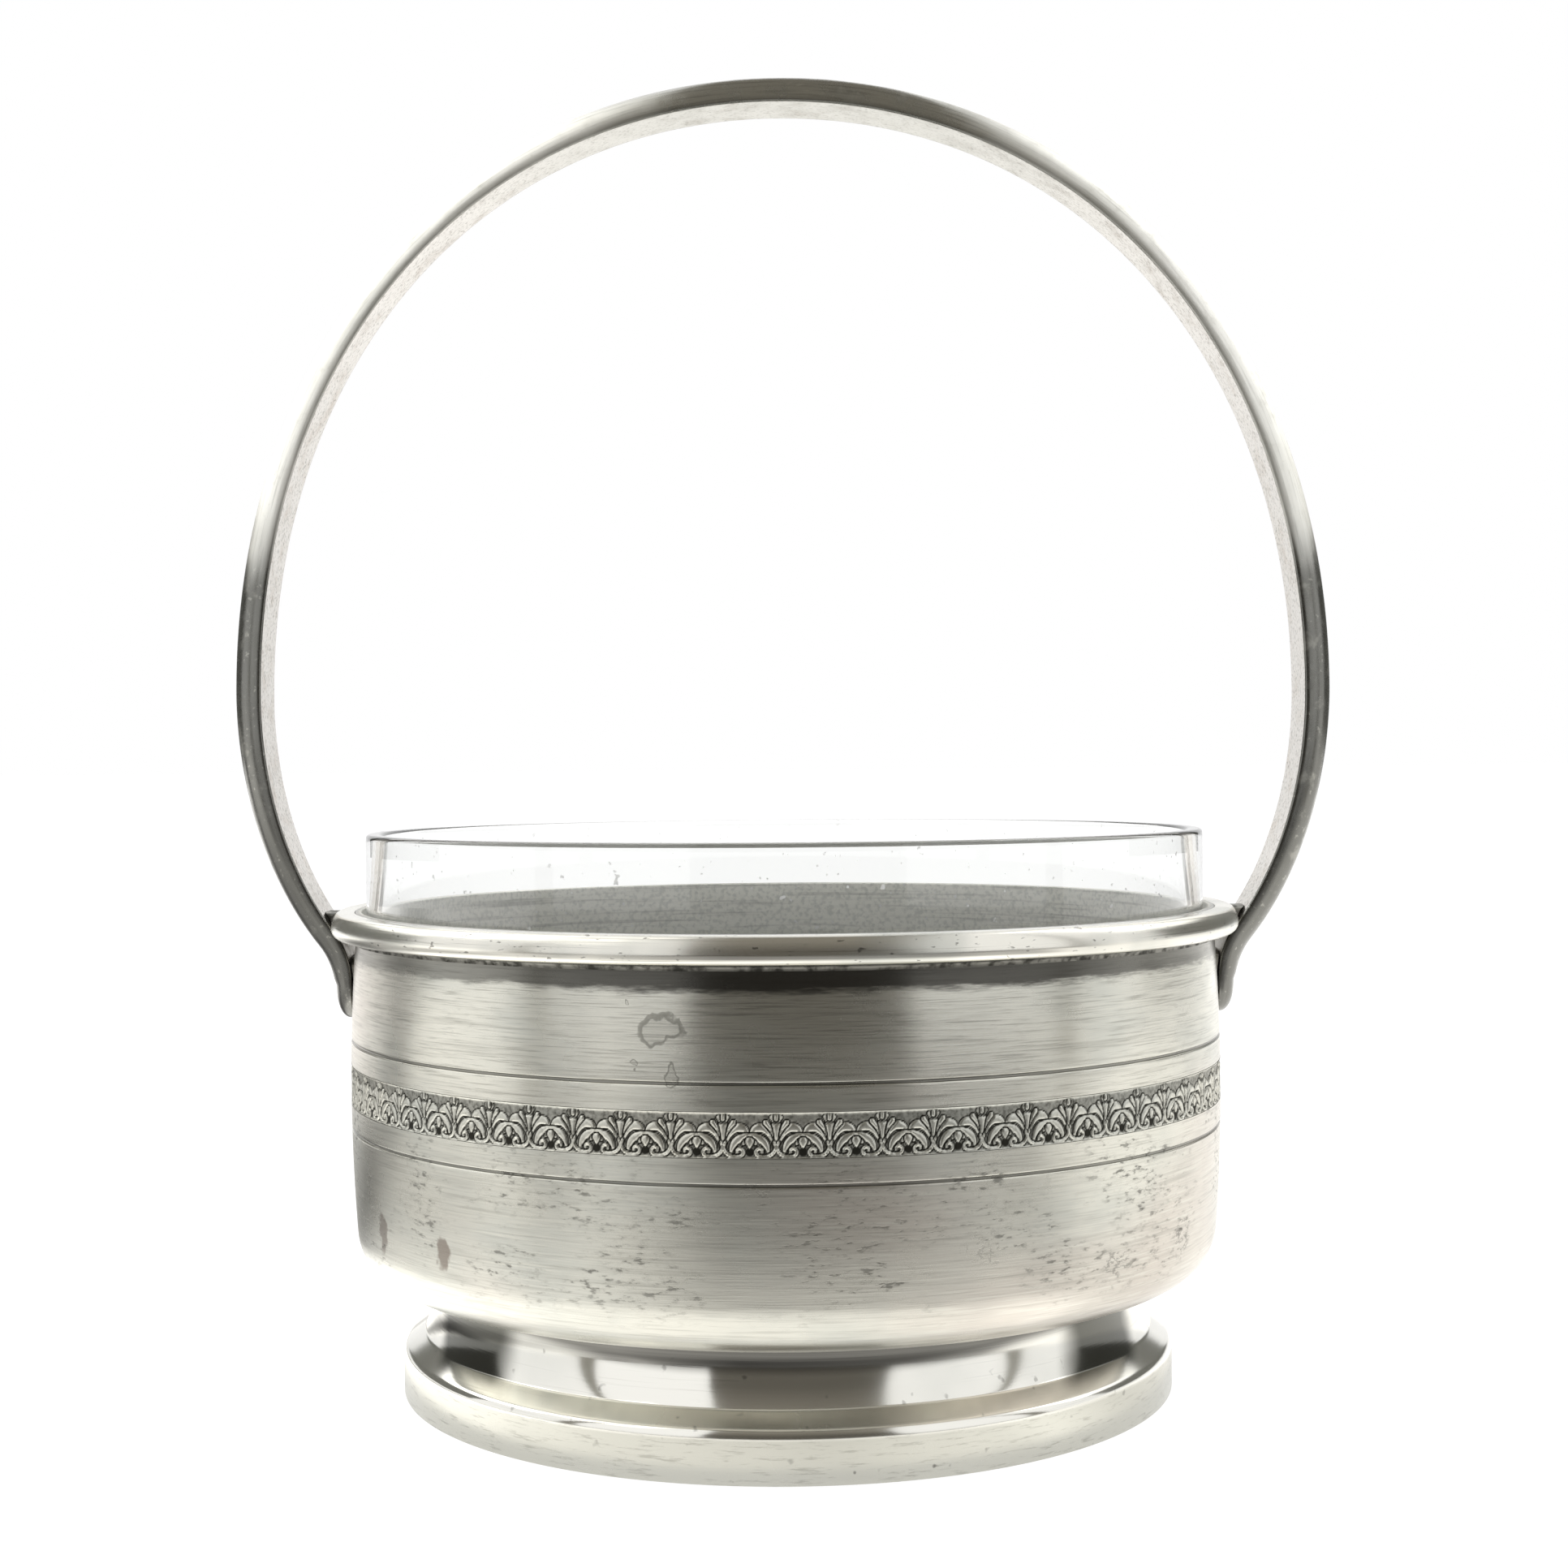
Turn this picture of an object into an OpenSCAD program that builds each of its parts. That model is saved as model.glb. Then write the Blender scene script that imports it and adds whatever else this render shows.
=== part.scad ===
// Sugar basket: a plated metal bowl on a spun foot, with a rolled frieze, a fixed bow handle
// and a loose glass liner. Millimetres, +Z up, origin on the table under the centre of the foot.

/* [Foot] */
// Height of the foot, from the table to the underside of the bowl
foot_h = 13.8; // [11:0.1:18]
// How far the foot's waist stands in from the edge of the bowl's flat underside
neck_inset = 3.3; // [1:0.1:12]
// How far the foot spreads beyond its waist
foot_flare = 4; // [3:0.1:6.5]
// Height of the plain upright band that stands on the table, up to its round edge
foot_band_h = 4.7; // [2.5:0.1:6]
// Rounding of the edge between the band and the sloping shoulder
foot_lip = 1.3; // [0.1:0.05:2]
// Radius of the tight hollow between the shoulder and the steep cove
toe_r = 1; // [0.5:0.1:2]
// Height of the straight waist, from the cove up to the bowl
neck_h = 1.4; // [1.2:0.1:3]
// Thickness of the foot's metal
foot_sheet = 1.1; // [0.6:0.05:1.6]
// Width of the hem turned in under the band
foot_hem_w = 2.4; // [1.7:0.1:5]
// Width of the flange turned in under the bowl
foot_flange_w = 4; // [2:0.1:12]

/* [Bowl] */
// Outer radius of the wall at the mouth
bowl_r = 51.5; // [40:0.1:70]
// Height of the bowl, from its underside to its mouth
bowl_h = 43.2; // [36:0.1:80]
// How far the wall swells at mid height
bowl_belly = 0.6; // [0.2:0.05:3]
// Outer radius of the corner between the wall and the floor
bowl_corner_r = 6; // [3:0.1:12]
// Thickness of the bowl's metal
bowl_sheet = 0.8; // [0.6:0.05:1.5]

/* [Rim moulding] */
// Height of the moulding round the mouth
bead_h = 3.05; // [2.6:0.05:6]
// How far the moulding stands out from the wall
bead_out = 2.8; // [2.2:0.1:6]
// Width of its flat top
bead_ledge = 2; // [1:0.1:2.1]
// Rounding of its lower edge
bead_low_r = 1.1; // [0.5:0.1:2]

/* [Frieze] */
// Height of the rolled strip
frieze_h = 4.7; // [3:0.1:8]
// Lower edge of the strip, above the bowl's underside
frieze_rise = 20.8; // [13:0.1:23]
// Depth of the seat that the strip is let into
frieze_depth = 0.35; // [0.2:0.05:0.45]
// Distance from the strip to the cut line above it, and to the one below it
line_gap = 2.75; // [1:0.05:3]
// Width of each cut line
line_w = 0.45; // [0.2:0.05:1]
// Depth of each cut line
line_depth = 0.2; // [0.1:0.05:0.4]

/* [Handle] */
// Height of the handle's crown above the mouth of the bowl
handle_rise = 100.2; // [80:0.1:140]
// How far the bow's inner face swings out beyond the rim moulding
handle_swell = 8.45; // [3:0.05:20]
// Height of the bow's widest place above the mouth
handle_waist = 25.6; // [15:0.1:40]
// Width of the half-round bar
bar_w = 8; // [5:0.1:14]
// Thickness of the half-round bar
bar_t = 3.7; // [2.6:0.1:6]
// Thickness of the tongue that is soldered to the wall
tongue_t = 2.5; // [1.5:0.1:4]
// Length of the straight tongue
tongue_len = 4.1; // [2:0.1:6]
// How much of the tongue's round end is taken off square
tip_flat = 0.2; // [0.1:0.05:1]
// How far the tongue's tip lies below the mouth
tongue_drop = 13.3; // [11:0.1:18]
// Gap between the bow and the moulding that it passes
bead_gap = 0.15; // [0.1:0.05:0.3]

/* [Solder] */
// Film of solder between two seated pieces
film = 0.05; // [0.03:0.01:0.1]
// Leg of the solder fillet under the rim moulding
rim_fillet = 0.6; // [0.3:0.05:1]
// Leg of the solder fillet between the foot and the bowl
foot_fillet = 0.8; // [0.3:0.05:1.1]
// How far the handle's solder spreads beyond the bar on each side
solder_spread = 0.7; // [0.2:0.05:1.5]
// Gap left between the solder wedge behind the tongue and the solder under the moulding
wedge_gap = 2; // [1:0.1:5]
// Height of the solder dab above the moulding's widest place
dab_h = 1.5; // [0.8:0.1:1.8]

/* [Glass liner] */
// Clearance all round between the liner and the mouth of the bowl
liner_gap = 0.5; // [0.3:0.05:2]
// How far the liner stands above the mouth of the bowl
liner_rise = 9.1; // [3:0.1:25]
// Thickness of the liner's wall
liner_wall = 1.9; // [1.2:0.1:3.5]
// Thickness of the liner's base
liner_base = 3; // [1.8:0.1:6]
// How much rounder the liner's bottom corner is than the bowl's
liner_ease = 1; // [0.5:0.1:3]
// Rounding of the liner's rim
liner_rim_round = 0.5; // [0.2:0.05:0.55]
// Depth of the hollow under the liner's base
liner_recess = 0.6; // [0.2:0.1:1.2]
// Width of the ring that the liner stands on
liner_ring_w = 7; // [2:0.1:15]

/* [Hidden] */

$fn = 96;
fine_fn = 480;
arc_steps = 10;
beyond = 10;

// Heights from the table
mouth_z = foot_h + bowl_h;
floor_z = foot_h + bowl_sheet;
bead_z = mouth_z - bead_h;
lip_z = bead_z - rim_fillet - 2 * film;

// The wall is one shallow arc between the corner and the straight lip under the moulding
corner_z = foot_h + bowl_corner_r;
belly_half = (lip_z - corner_z) / 2;
belly_z = corner_z + belly_half;
belly_r = (pow(belly_half, 2) + pow(bowl_belly, 2)) / (2 * bowl_belly);
belly_x = bowl_r + bowl_belly - belly_r;
corner_x = belly_x + sqrt(pow(belly_r - bowl_corner_r, 2) - pow(belly_half, 2));
belly_low = -asin(belly_half / (belly_r - bowl_corner_r));
belly_high = asin(belly_half / belly_r);
inner_high = asin(belly_half / (belly_r - bowl_sheet));
mouth_r = belly_x + (belly_r - bowl_sheet) * cos(inner_high);

// Frieze and cut lines
frieze_z = foot_h + frieze_rise;
frieze_top = frieze_z + frieze_h;
frieze_r = wall_r(frieze_z + frieze_h / 2);

// Foot: under its waist a steep cove, a tight hollow, a straight sloping shoulder and the band's round
// edge, each running smoothly into the next. The cove gets the radius that makes them meet. The slopes
// are in degrees from upright
neck_r = bowl_r - bowl_corner_r - neck_inset;
foot_r = neck_r + foot_flare;
foot_top = foot_h - film;
cove_turn = 30;
shoulder_turn = 55;
cove_z = foot_top - neck_h;
cove_way = [cos(cove_turn), sin(cove_turn)];
shoulder_way = [cos(shoulder_turn), sin(shoulder_turn)];
lip_centre = [foot_r - foot_lip, foot_band_h];
lip_end = lip_centre + foot_lip * shoulder_way;
foot_gap = [neck_r, cove_z] - lip_end - toe_r * (shoulder_way - cove_way);
foot_join = cos(shoulder_turn - cove_turn) - cos(shoulder_turn);
cove_r = (foot_gap[0] * cos(shoulder_turn) + foot_gap[1] * sin(shoulder_turn)) / foot_join;
cove_centre = [neck_r + cove_r, cove_z];
toe_centre = cove_centre - (cove_r - toe_r) * cove_way;
foot_inner_z = foot_band_h + (foot_lip - foot_sheet) * tan(shoulder_turn / 2);

// Rim moulding: a tall arc above its widest place and a tight one below
bead_mid_z = bead_z + bead_low_r;
bead_up = bead_h - bead_low_r;
bead_over = bead_out - bead_ledge;
bead_up_r = (pow(bead_up, 2) + pow(bead_over, 2)) / (2 * bead_over);
bead_r = bowl_r + bead_out;

// Liner
liner_r = mouth_r - liner_gap;
liner_top = mouth_z + liner_rise;
liner_corner = bowl_corner_r - bowl_sheet + liner_ease;
liner_inner_r = liner_r - liner_wall;
liner_inner_corner = liner_corner - liner_wall;
liner_floor = floor_z + liner_base;
liner_stand_r = liner_r - liner_corner;
liner_recess_r = liner_stand_r - liner_ring_w;

// Handle: the middle of the bow's flat inner face, as points [x, z]
tip_z = mouth_z - tongue_drop;
bend_z = tip_z + tongue_len;
tongue_x = wall_r(max(tip_z, belly_z)) + film;
wedge_top = lip_z - wedge_gap;
bend_turn = 2 * atan((bead_r + bead_gap - tongue_x) / (bead_mid_z - bend_z));
pass = [bead_r - bead_low_r, bead_mid_z]
     + (bead_low_r + bead_gap) * [cos(bend_turn), -sin(bend_turn)];
bend_r = (pass[1] - bend_z) / sin(bend_turn);
waist = [bead_r + handle_swell, mouth_z + handle_waist];
crown = [0, mouth_z + handle_rise - bar_t];
crown_pull = 0.575;
shoulder_pull = 0.59;
side_pull = 0.36;
foot_pull = 0.335;
tip_dome = 0.6;
thinning = 0.4;
bow_steps = 22;
side_steps = 10;
bend_steps = 6;
tip_steps = 5;
dome_steps = 12;

function arc(centre, r, from, to, steps = arc_steps) =
    [for (i = [0:steps]) let (a = from + (to - from) * i / steps) centre + r * [cos(a), sin(a)]];

function wall_r(z) = belly_x + sqrt(pow(belly_r, 2) - pow(z - belly_z, 2));

function bezier(a, b, c, d, t) =
    pow(1 - t, 3) * a + 3 * t * pow(1 - t, 2) * b + 3 * t * t * (1 - t) * c + pow(t, 3) * d;

// Outline of the bowl's outer surface, from the axis to the mouth
bowl_outside = concat(
    [[0, foot_h]],
    arc([corner_x, corner_z], bowl_corner_r, -90, belly_low),
    arc([belly_x, belly_z], belly_r, belly_low, belly_high),
    [[bowl_r, mouth_z]]);

// Outline of its inner surface, from the mouth to the axis
bowl_inside = concat(
    [[mouth_r, mouth_z]],
    arc([belly_x, belly_z], belly_r - bowl_sheet, inner_high, belly_low),
    arc([corner_x, corner_z], bowl_corner_r - bowl_sheet, belly_low, -90),
    [[0, floor_z]]);

// A ring cut into the wall from outside, with its floor at radius r
module wall_cut(low_z, high_z, r) {
    translate([0, 0, low_z])
        difference() {
            cylinder(r = bowl_r + bowl_belly + beyond, h = high_z - low_z);
            translate([0, 0, -beyond])
                cylinder(r = r, h = high_z - low_z + 2 * beyond);
        }
}

module cut_line(z) {
    wall_cut(z - line_w / 2, z + line_w / 2, wall_r(z) - line_depth);
}

module bowl_shell() {
    color("silver")
        difference() {
            rotate_extrude()
                polygon(concat(bowl_outside, bowl_inside));
            wall_cut(frieze_z, frieze_top, frieze_r - frieze_depth);
            cut_line(frieze_z - line_gap);
            cut_line(frieze_top + line_gap);
        }
}

module rim_moulding() {
    color("gainsboro")
        rotate_extrude()
            polygon(concat(
                [[bowl_r + film, bead_z]],
                arc([bead_r - bead_low_r, bead_mid_z], bead_low_r, -90, 0),
                arc([bead_r - bead_up_r, bead_mid_z], bead_up_r, 0, asin(bead_up / bead_up_r)),
                [[bowl_r + film, mouth_z]]));
}

// Hollow-faced fillet ring in the corner between an upright face at radius r and a face at height z
module fillet_ring(r, z, leg) {
    color("dimgray")
        rotate_extrude()
            polygon(concat([[r, z]], arc([r + leg, z - leg], leg, 90, 180)));
}

module rim_solder() {
    fillet_ring(bowl_r + film, bead_z - film, rim_fillet);
}

module foot_solder() {
    fillet_ring(neck_r + film, foot_h - film, foot_fillet);
}

module frieze_strip() {
    color("gray")
        translate([0, 0, frieze_z + film])
            difference() {
                cylinder(r = frieze_r, h = frieze_h - 2 * film);
                translate([0, 0, -beyond])
                    cylinder(r = frieze_r - frieze_depth + film, h = frieze_h + 2 * beyond);
            }
}

module foot_ring() {
    color("whitesmoke")
        rotate_extrude()
            polygon(concat(
                [[foot_r - foot_hem_w, 0], [foot_r, 0]],
                arc(lip_centre, foot_lip, 0, shoulder_turn),
                arc(toe_centre, toe_r, 180 + shoulder_turn, 180 + cove_turn),
                arc(cove_centre, cove_r, 180 + cove_turn, 180),
                [[neck_r, foot_top],
                 [neck_r - foot_flange_w, foot_top],
                 [neck_r - foot_flange_w, foot_top - foot_sheet],
                 [neck_r - foot_sheet, foot_top - foot_sheet]],
                arc(cove_centre, cove_r + foot_sheet, 180, 180 + cove_turn),
                arc(toe_centre, toe_r + foot_sheet, 180 + cove_turn, 180 + shoulder_turn),
                [[foot_r - foot_sheet, foot_inner_z],
                 [foot_r - foot_sheet, foot_sheet],
                 [foot_r - foot_hem_w, foot_sheet]]));
}

// Bend between the straight tongue and the place where the bow passes the moulding
bend = arc([tongue_x + bend_r, bend_z], bend_r, 180, 180 - bend_turn, bend_steps);

// One side of the bow, from the tongue's tip to the crown
bow_half = concat(
    [for (i = [0:tip_steps]) [tongue_x, tip_z + tongue_len * i / (tip_steps + 1)]],
    bend,
    [for (i = [1:side_steps]) side_point(i / side_steps)],
    [for (i = [1:bow_steps]) bow_point(i / bow_steps)]);

function side_point(t) =
    let (reach = waist[1] - pass[1])
    bezier(pass, pass + foot_pull * reach * [sin(bend_turn), cos(bend_turn)],
           waist - [0, side_pull * reach], waist, t);

function bow_point(t) =
    bezier(waist, waist + [0, shoulder_pull * (crown[1] - waist[1])],
           [crown_pull * waist[0], crown[1]], crown, t);

bow_path = concat(bow_half, [for (i = [len(bow_half) - 2:-1:0]) [-bow_half[i][0], bow_half[i][1]]]);

// Share of the full section left at a height: the tongue's end is round
function tip_round(z) =
    let (s = min(1, (z - tip_z + tip_flat) / (bar_w / 2)))
    sqrt(1 - pow(1 - s, 2));

// The bar thins from its full section at the widest place to the tongue, most of it low down
function bar_thick(z) =
    let (s = max(0, min(1, (z - bend_z) / (waist[1] - bend_z))))
    tongue_t + (bar_t - tongue_t) * pow(s, thinning);

// Half-round section at one station: flat towards the hand, domed outwards
function bow_ring(i) =
    let (p = bow_path[i],
         ahead = bow_path[min(i + 1, len(bow_path) - 1)],
         behind = bow_path[max(i - 1, 0)],
         along = (ahead - behind) / norm(ahead - behind),
         out = [along[1], -along[0]],
         w = bar_w / 2 * tip_round(p[1]),
         t = bar_thick(p[1]) * pow(tip_round(p[1]), tip_dome))
    [for (k = [0:dome_steps])
        let (a = 180 * k / dome_steps, q = p + out * t * sin(a))
        [q[0], w * cos(a), q[1]]];

module handle_bow() {
    stations = len(bow_path);
    side = dome_steps + 1;
    last = (stations - 1) * side;
    walls = [for (i = [0:stations - 2], k = [0:side - 1])
        let (a = i * side + k, b = i * side + (k + 1) % side)
        each [[a, b, b + side], [a, b + side, a + side]]];
    ends = [for (k = [1:side - 2]) each [[0, k + 1, k], [last, last + k, last + k + 1]]];
    color("darkgray")
        polyhedron([for (i = [0:stations - 1]) each bow_ring(i)], concat(walls, ends));
}

// Solid of the bowl and all inside it, grown by the film
module wall_blank() {
    rotate_extrude($fn = fine_fn)
        polygon(concat([[0, foot_h], [corner_x, foot_h]],
                       arc([belly_x, belly_z], belly_r + film, belly_low, belly_high),
                       [[bowl_r + film, mouth_z], [0, mouth_z]]));
}

// Upright outline [x, z], drawn out across the bar
module across_bar(outline, width) {
    rotate([90, 0, 0])
        linear_extrude(height = width, center = true)
            polygon(outline);
}

// Wedge of solder behind the tongue, from the wall to the bar's flat face
module handle_solder() {
    face = [for (p = concat([[tongue_x, tip_z + solder_spread]], bend)) p - [film, 0]];
    color("dimgray")
        difference() {
            across_bar(concat(face, [[bowl_r - beyond, pass[1]], [bowl_r - beyond, face[0][1]]]),
                       bar_w + 2 * solder_spread);
            wall_blank();
            translate([0, 0, wedge_top])
                cylinder(r = bead_r + beyond, h = beyond);
        }
}

// Solid of the moulding and all inside it, grown by the film
module moulding_blank() {
    rotate_extrude($fn = fine_fn)
        polygon(concat(
            [[0, bead_z - film]],
            arc([bead_r - bead_low_r, bead_mid_z], bead_low_r + film, -90, 0),
            arc([bead_r - bead_up_r, bead_mid_z], bead_up_r + film, 0, asin(bead_up / bead_up_r)),
            [[0, mouth_z + film]]));
}

// Dab of solder in the crevice where the bow passes the moulding
module bead_solder() {
    face = [for (i = [0:side_steps]) side_point(i / side_steps) - [film, 0]];
    color("dimgray")
        difference() {
            across_bar(concat(face, [[bowl_r, waist[1]], [bowl_r, pass[1]]]), bar_w - 2 * solder_spread);
            moulding_blank();
            cylinder(r = bead_r + beyond, h = bead_mid_z);
            translate([0, 0, bead_mid_z + dab_h])
                cylinder(r = waist[0] + beyond, h = waist[1]);
        }
}

module glass_liner() {
    color("lightcyan", 0.4)
        rotate_extrude()
            polygon(concat(
                [[0, floor_z + liner_recess],
                 [liner_recess_r, floor_z + liner_recess],
                 [liner_recess_r + liner_recess, floor_z]],
                arc([liner_stand_r, floor_z + liner_corner], liner_corner, -90, 0),
                arc([liner_r - liner_rim_round, liner_top - liner_rim_round], liner_rim_round, 0, 90),
                arc([liner_inner_r + liner_rim_round, liner_top - liner_rim_round],
                    liner_rim_round, 90, 180),
                arc([liner_inner_r - liner_inner_corner, liner_floor + liner_inner_corner],
                    liner_inner_corner, 0, -90),
                [[0, liner_floor]]));
}

bowl_shell();
rim_moulding();
rim_solder();
frieze_strip();
foot_ring();
foot_solder();
handle_bow();
mirror([1, 0, 0]) handle_solder();  // handle_solder_left
handle_solder();  // handle_solder_right
mirror([1, 0, 0]) bead_solder();  // bead_solder_left
bead_solder();  // bead_solder_right
glass_liner();
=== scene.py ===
import math
from functools import partialmethod

import bpy
import numpy as np
from mathutils import Euler, Matrix, Vector


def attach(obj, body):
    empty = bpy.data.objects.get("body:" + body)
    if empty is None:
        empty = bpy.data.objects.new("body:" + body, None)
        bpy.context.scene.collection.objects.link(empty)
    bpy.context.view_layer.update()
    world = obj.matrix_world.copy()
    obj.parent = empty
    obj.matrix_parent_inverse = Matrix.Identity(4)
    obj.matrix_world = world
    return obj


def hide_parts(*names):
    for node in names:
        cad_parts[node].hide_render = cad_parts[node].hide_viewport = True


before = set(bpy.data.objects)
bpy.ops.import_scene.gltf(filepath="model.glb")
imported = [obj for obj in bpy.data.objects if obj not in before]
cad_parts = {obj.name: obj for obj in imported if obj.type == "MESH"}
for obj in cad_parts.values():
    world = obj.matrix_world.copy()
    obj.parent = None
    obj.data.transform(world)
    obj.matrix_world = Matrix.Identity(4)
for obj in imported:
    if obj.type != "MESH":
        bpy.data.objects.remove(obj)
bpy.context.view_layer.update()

# Sizes of the basket in millimetres, as in the part's source
FOOT_H, NECK_INSET, FOOT_FLARE, FOOT_BAND_H, FOOT_LIP = 13.8, 3.3, 4.0, 4.7, 1.3
TOE_R, NECK_H, FOOT_SHEET, FOOT_HEM_W, FOOT_FLANGE_W = 1.0, 1.4, 1.1, 2.4, 4.0
COVE_TURN, SHOULDER_TURN = math.radians(30), math.radians(55)
BOWL_R, BOWL_H, BOWL_BELLY, BOWL_CORNER_R, BOWL_SHEET = 51.5, 43.2, 0.6, 6.0, 0.8
BEAD_H, BEAD_OUT, BEAD_LEDGE, BEAD_LOW_R = 3.05, 2.8, 2.0, 1.1
FRIEZE_H, FRIEZE_RISE, FRIEZE_DEPTH = 4.7, 20.8, 0.35
LINE_GAP, LINE_W, LINE_DEPTH = 2.75, 0.45, 0.2
HANDLE_RISE, HANDLE_SWELL, HANDLE_WAIST = 100.2, 8.45, 25.6
BAR_W, BAR_T, TONGUE_T, TONGUE_LEN, TIP_FLAT, TONGUE_DROP = 8.0, 3.7, 2.5, 4.1, 0.2, 13.3
BEAD_GAP, FILM, RIM_FILLET, FOOT_FILLET = 0.15, 0.05, 0.6, 0.8
SOLDER_SPREAD, WEDGE_GAP, DAB_H = 0.7, 2.0, 1.5
LINER_GAP, LINER_RISE, LINER_WALL, LINER_BASE = 0.5, 9.1, 1.9, 3.0
LINER_EASE, LINER_RIM_ROUND, LINER_RECESS, LINER_RING_W = 1.0, 0.5, 0.6, 7.0
CROWN_PULL, SHOULDER_PULL, SIDE_PULL, FOOT_PULL, TIP_DOME, THINNING = 0.575, 0.59, 0.36, 0.335, 0.6, 0.4

# Heights and radii that follow from them
MOUTH_Z = FOOT_H + BOWL_H
FLOOR_Z = FOOT_H + BOWL_SHEET
BEAD_Z = MOUTH_Z - BEAD_H
LIP_Z = BEAD_Z - RIM_FILLET - 2 * FILM
CORNER_Z = FOOT_H + BOWL_CORNER_R
BELLY_HALF = (LIP_Z - CORNER_Z) / 2
BELLY_Z = CORNER_Z + BELLY_HALF
BELLY_R = (BELLY_HALF ** 2 + BOWL_BELLY ** 2) / (2 * BOWL_BELLY)
BELLY_X = BOWL_R + BOWL_BELLY - BELLY_R
CORNER_X = BELLY_X + math.sqrt((BELLY_R - BOWL_CORNER_R) ** 2 - BELLY_HALF ** 2)
BELLY_LOW = -math.degrees(math.asin(BELLY_HALF / (BELLY_R - BOWL_CORNER_R)))
INNER_HIGH = math.degrees(math.asin(BELLY_HALF / (BELLY_R - BOWL_SHEET)))
MOUTH_R = BELLY_X + (BELLY_R - BOWL_SHEET) * math.cos(math.radians(INNER_HIGH))
FRIEZE_Z = FOOT_H + FRIEZE_RISE
FRIEZE_TOP = FRIEZE_Z + FRIEZE_H
LOW_LINE, HIGH_LINE = FRIEZE_Z - LINE_GAP, FRIEZE_TOP + LINE_GAP
NECK_R = BOWL_R - BOWL_CORNER_R - NECK_INSET
FOOT_R = NECK_R + FOOT_FLARE
FOOT_TOP = FOOT_H - FILM
COVE_Z = FOOT_TOP - NECK_H
COVE_WAY = np.array([math.cos(COVE_TURN), math.sin(COVE_TURN)])
SHOULDER_WAY = np.array([math.cos(SHOULDER_TURN), math.sin(SHOULDER_TURN)])
LIP_END = np.array([FOOT_R - FOOT_LIP, FOOT_BAND_H]) + FOOT_LIP * SHOULDER_WAY
FOOT_GAP = np.array([NECK_R, COVE_Z]) - LIP_END - TOE_R * (SHOULDER_WAY - COVE_WAY)
COVE_R = (FOOT_GAP @ SHOULDER_WAY) / (math.cos(SHOULDER_TURN - COVE_TURN) - math.cos(SHOULDER_TURN))
COVE_X = NECK_R + COVE_R
TOE_X, TOE_Z = np.array([COVE_X, COVE_Z]) - (COVE_R - TOE_R) * COVE_WAY
FOOT_INNER_Z = FOOT_BAND_H + (FOOT_LIP - FOOT_SHEET) * math.tan(SHOULDER_TURN / 2)
BEAD_MID_Z = BEAD_Z + BEAD_LOW_R
BEAD_UP = BEAD_H - BEAD_LOW_R
BEAD_OVER = BEAD_OUT - BEAD_LEDGE
BEAD_UP_R = (BEAD_UP ** 2 + BEAD_OVER ** 2) / (2 * BEAD_OVER)
BEAD_R = BOWL_R + BEAD_OUT
LINER_R = MOUTH_R - LINER_GAP
LINER_TOP = MOUTH_Z + LINER_RISE
LINER_CORNER = BOWL_CORNER_R - BOWL_SHEET + LINER_EASE
LINER_INNER_R = LINER_R - LINER_WALL
LINER_INNER_CORNER = LINER_CORNER - LINER_WALL
LINER_FLOOR = FLOOR_Z + LINER_BASE
LINER_STAND_R = LINER_R - LINER_CORNER
LINER_RECESS_R = LINER_STAND_R - LINER_RING_W

# Fine rounding of the meshes in millimetres, and the most of the bar's thickness that it takes
MOUTH_EDGE, HEM_EDGE, BAR_EDGE, BAR_EDGE_SHARE = 0.16, 0.1, 0.28, 0.2

# Metres in a millimetre, points round a turned piece, and how far a sharp edge turns at least
MM, ROUND, SHARP_ANGLE = 0.001, 256, math.radians(38)


def wall_radius(z):
    """Radius of the bowl's wall at height z: one shallow arc that swells at mid height."""
    return BELLY_X + np.sqrt(BELLY_R ** 2 - (z - BELLY_Z) ** 2)


FRIEZE_R = float(wall_radius(FRIEZE_Z + FRIEZE_H / 2))
TIP_Z = MOUTH_Z - TONGUE_DROP
BEND_Z = TIP_Z + TONGUE_LEN
TONGUE_X = float(wall_radius(max(TIP_Z, BELLY_Z))) + FILM
WEDGE_TOP = LIP_Z - WEDGE_GAP
BEND_TURN = 2 * math.atan((BEAD_R + BEAD_GAP - TONGUE_X) / (BEAD_MID_Z - BEND_Z))
PASS = np.array([BEAD_R - BEAD_LOW_R, BEAD_MID_Z]) + (BEAD_LOW_R + BEAD_GAP) * np.array(
    [math.cos(BEND_TURN), -math.sin(BEND_TURN)])
BEND_R = (PASS[1] - BEND_Z) / math.sin(BEND_TURN)
WAIST = np.array([BEAD_R + HANDLE_SWELL, MOUTH_Z + HANDLE_WAIST])
CROWN = np.array([0.0, MOUTH_Z + HANDLE_RISE - BAR_T])

chance = np.random.default_rng(61)


def arc(x, z, r, start, stop, steps):
    """Points on a circle of radius r about (x, z), from one angle to another in degrees."""
    a = np.radians(np.linspace(start, stop, steps + 1))
    return np.column_stack((x + r * np.cos(a), z + r * np.sin(a)))


def joined(*runs):
    """Runs of points as one outline, without the points that repeat their neighbour."""
    line = np.concatenate([np.atleast_2d(np.asarray(run, float)) for run in runs])
    keep = np.ones(len(line), bool)
    keep[1:] = np.linalg.norm(np.diff(line, axis=0), axis=1) > 1e-4
    return line[keep]


def lengths(line):
    """Distance run along an outline up to each of its points."""
    return np.concatenate(([0], np.cumsum(np.linalg.norm(np.diff(line, axis=0), axis=1))))


def waves(angle, size, lowest, highest, count):
    """A smooth uneven run round a ring: a sum of sines with whole numbers of waves and chance phases."""
    number = chance.integers(lowest, highest, count)
    phase = chance.uniform(0, 2 * math.pi, count)
    share = chance.uniform(0.4, 1, count)
    return size * (share * np.sin(np.multiply.outer(angle, number) + phase)).sum(-1) / share.sum()


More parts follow.
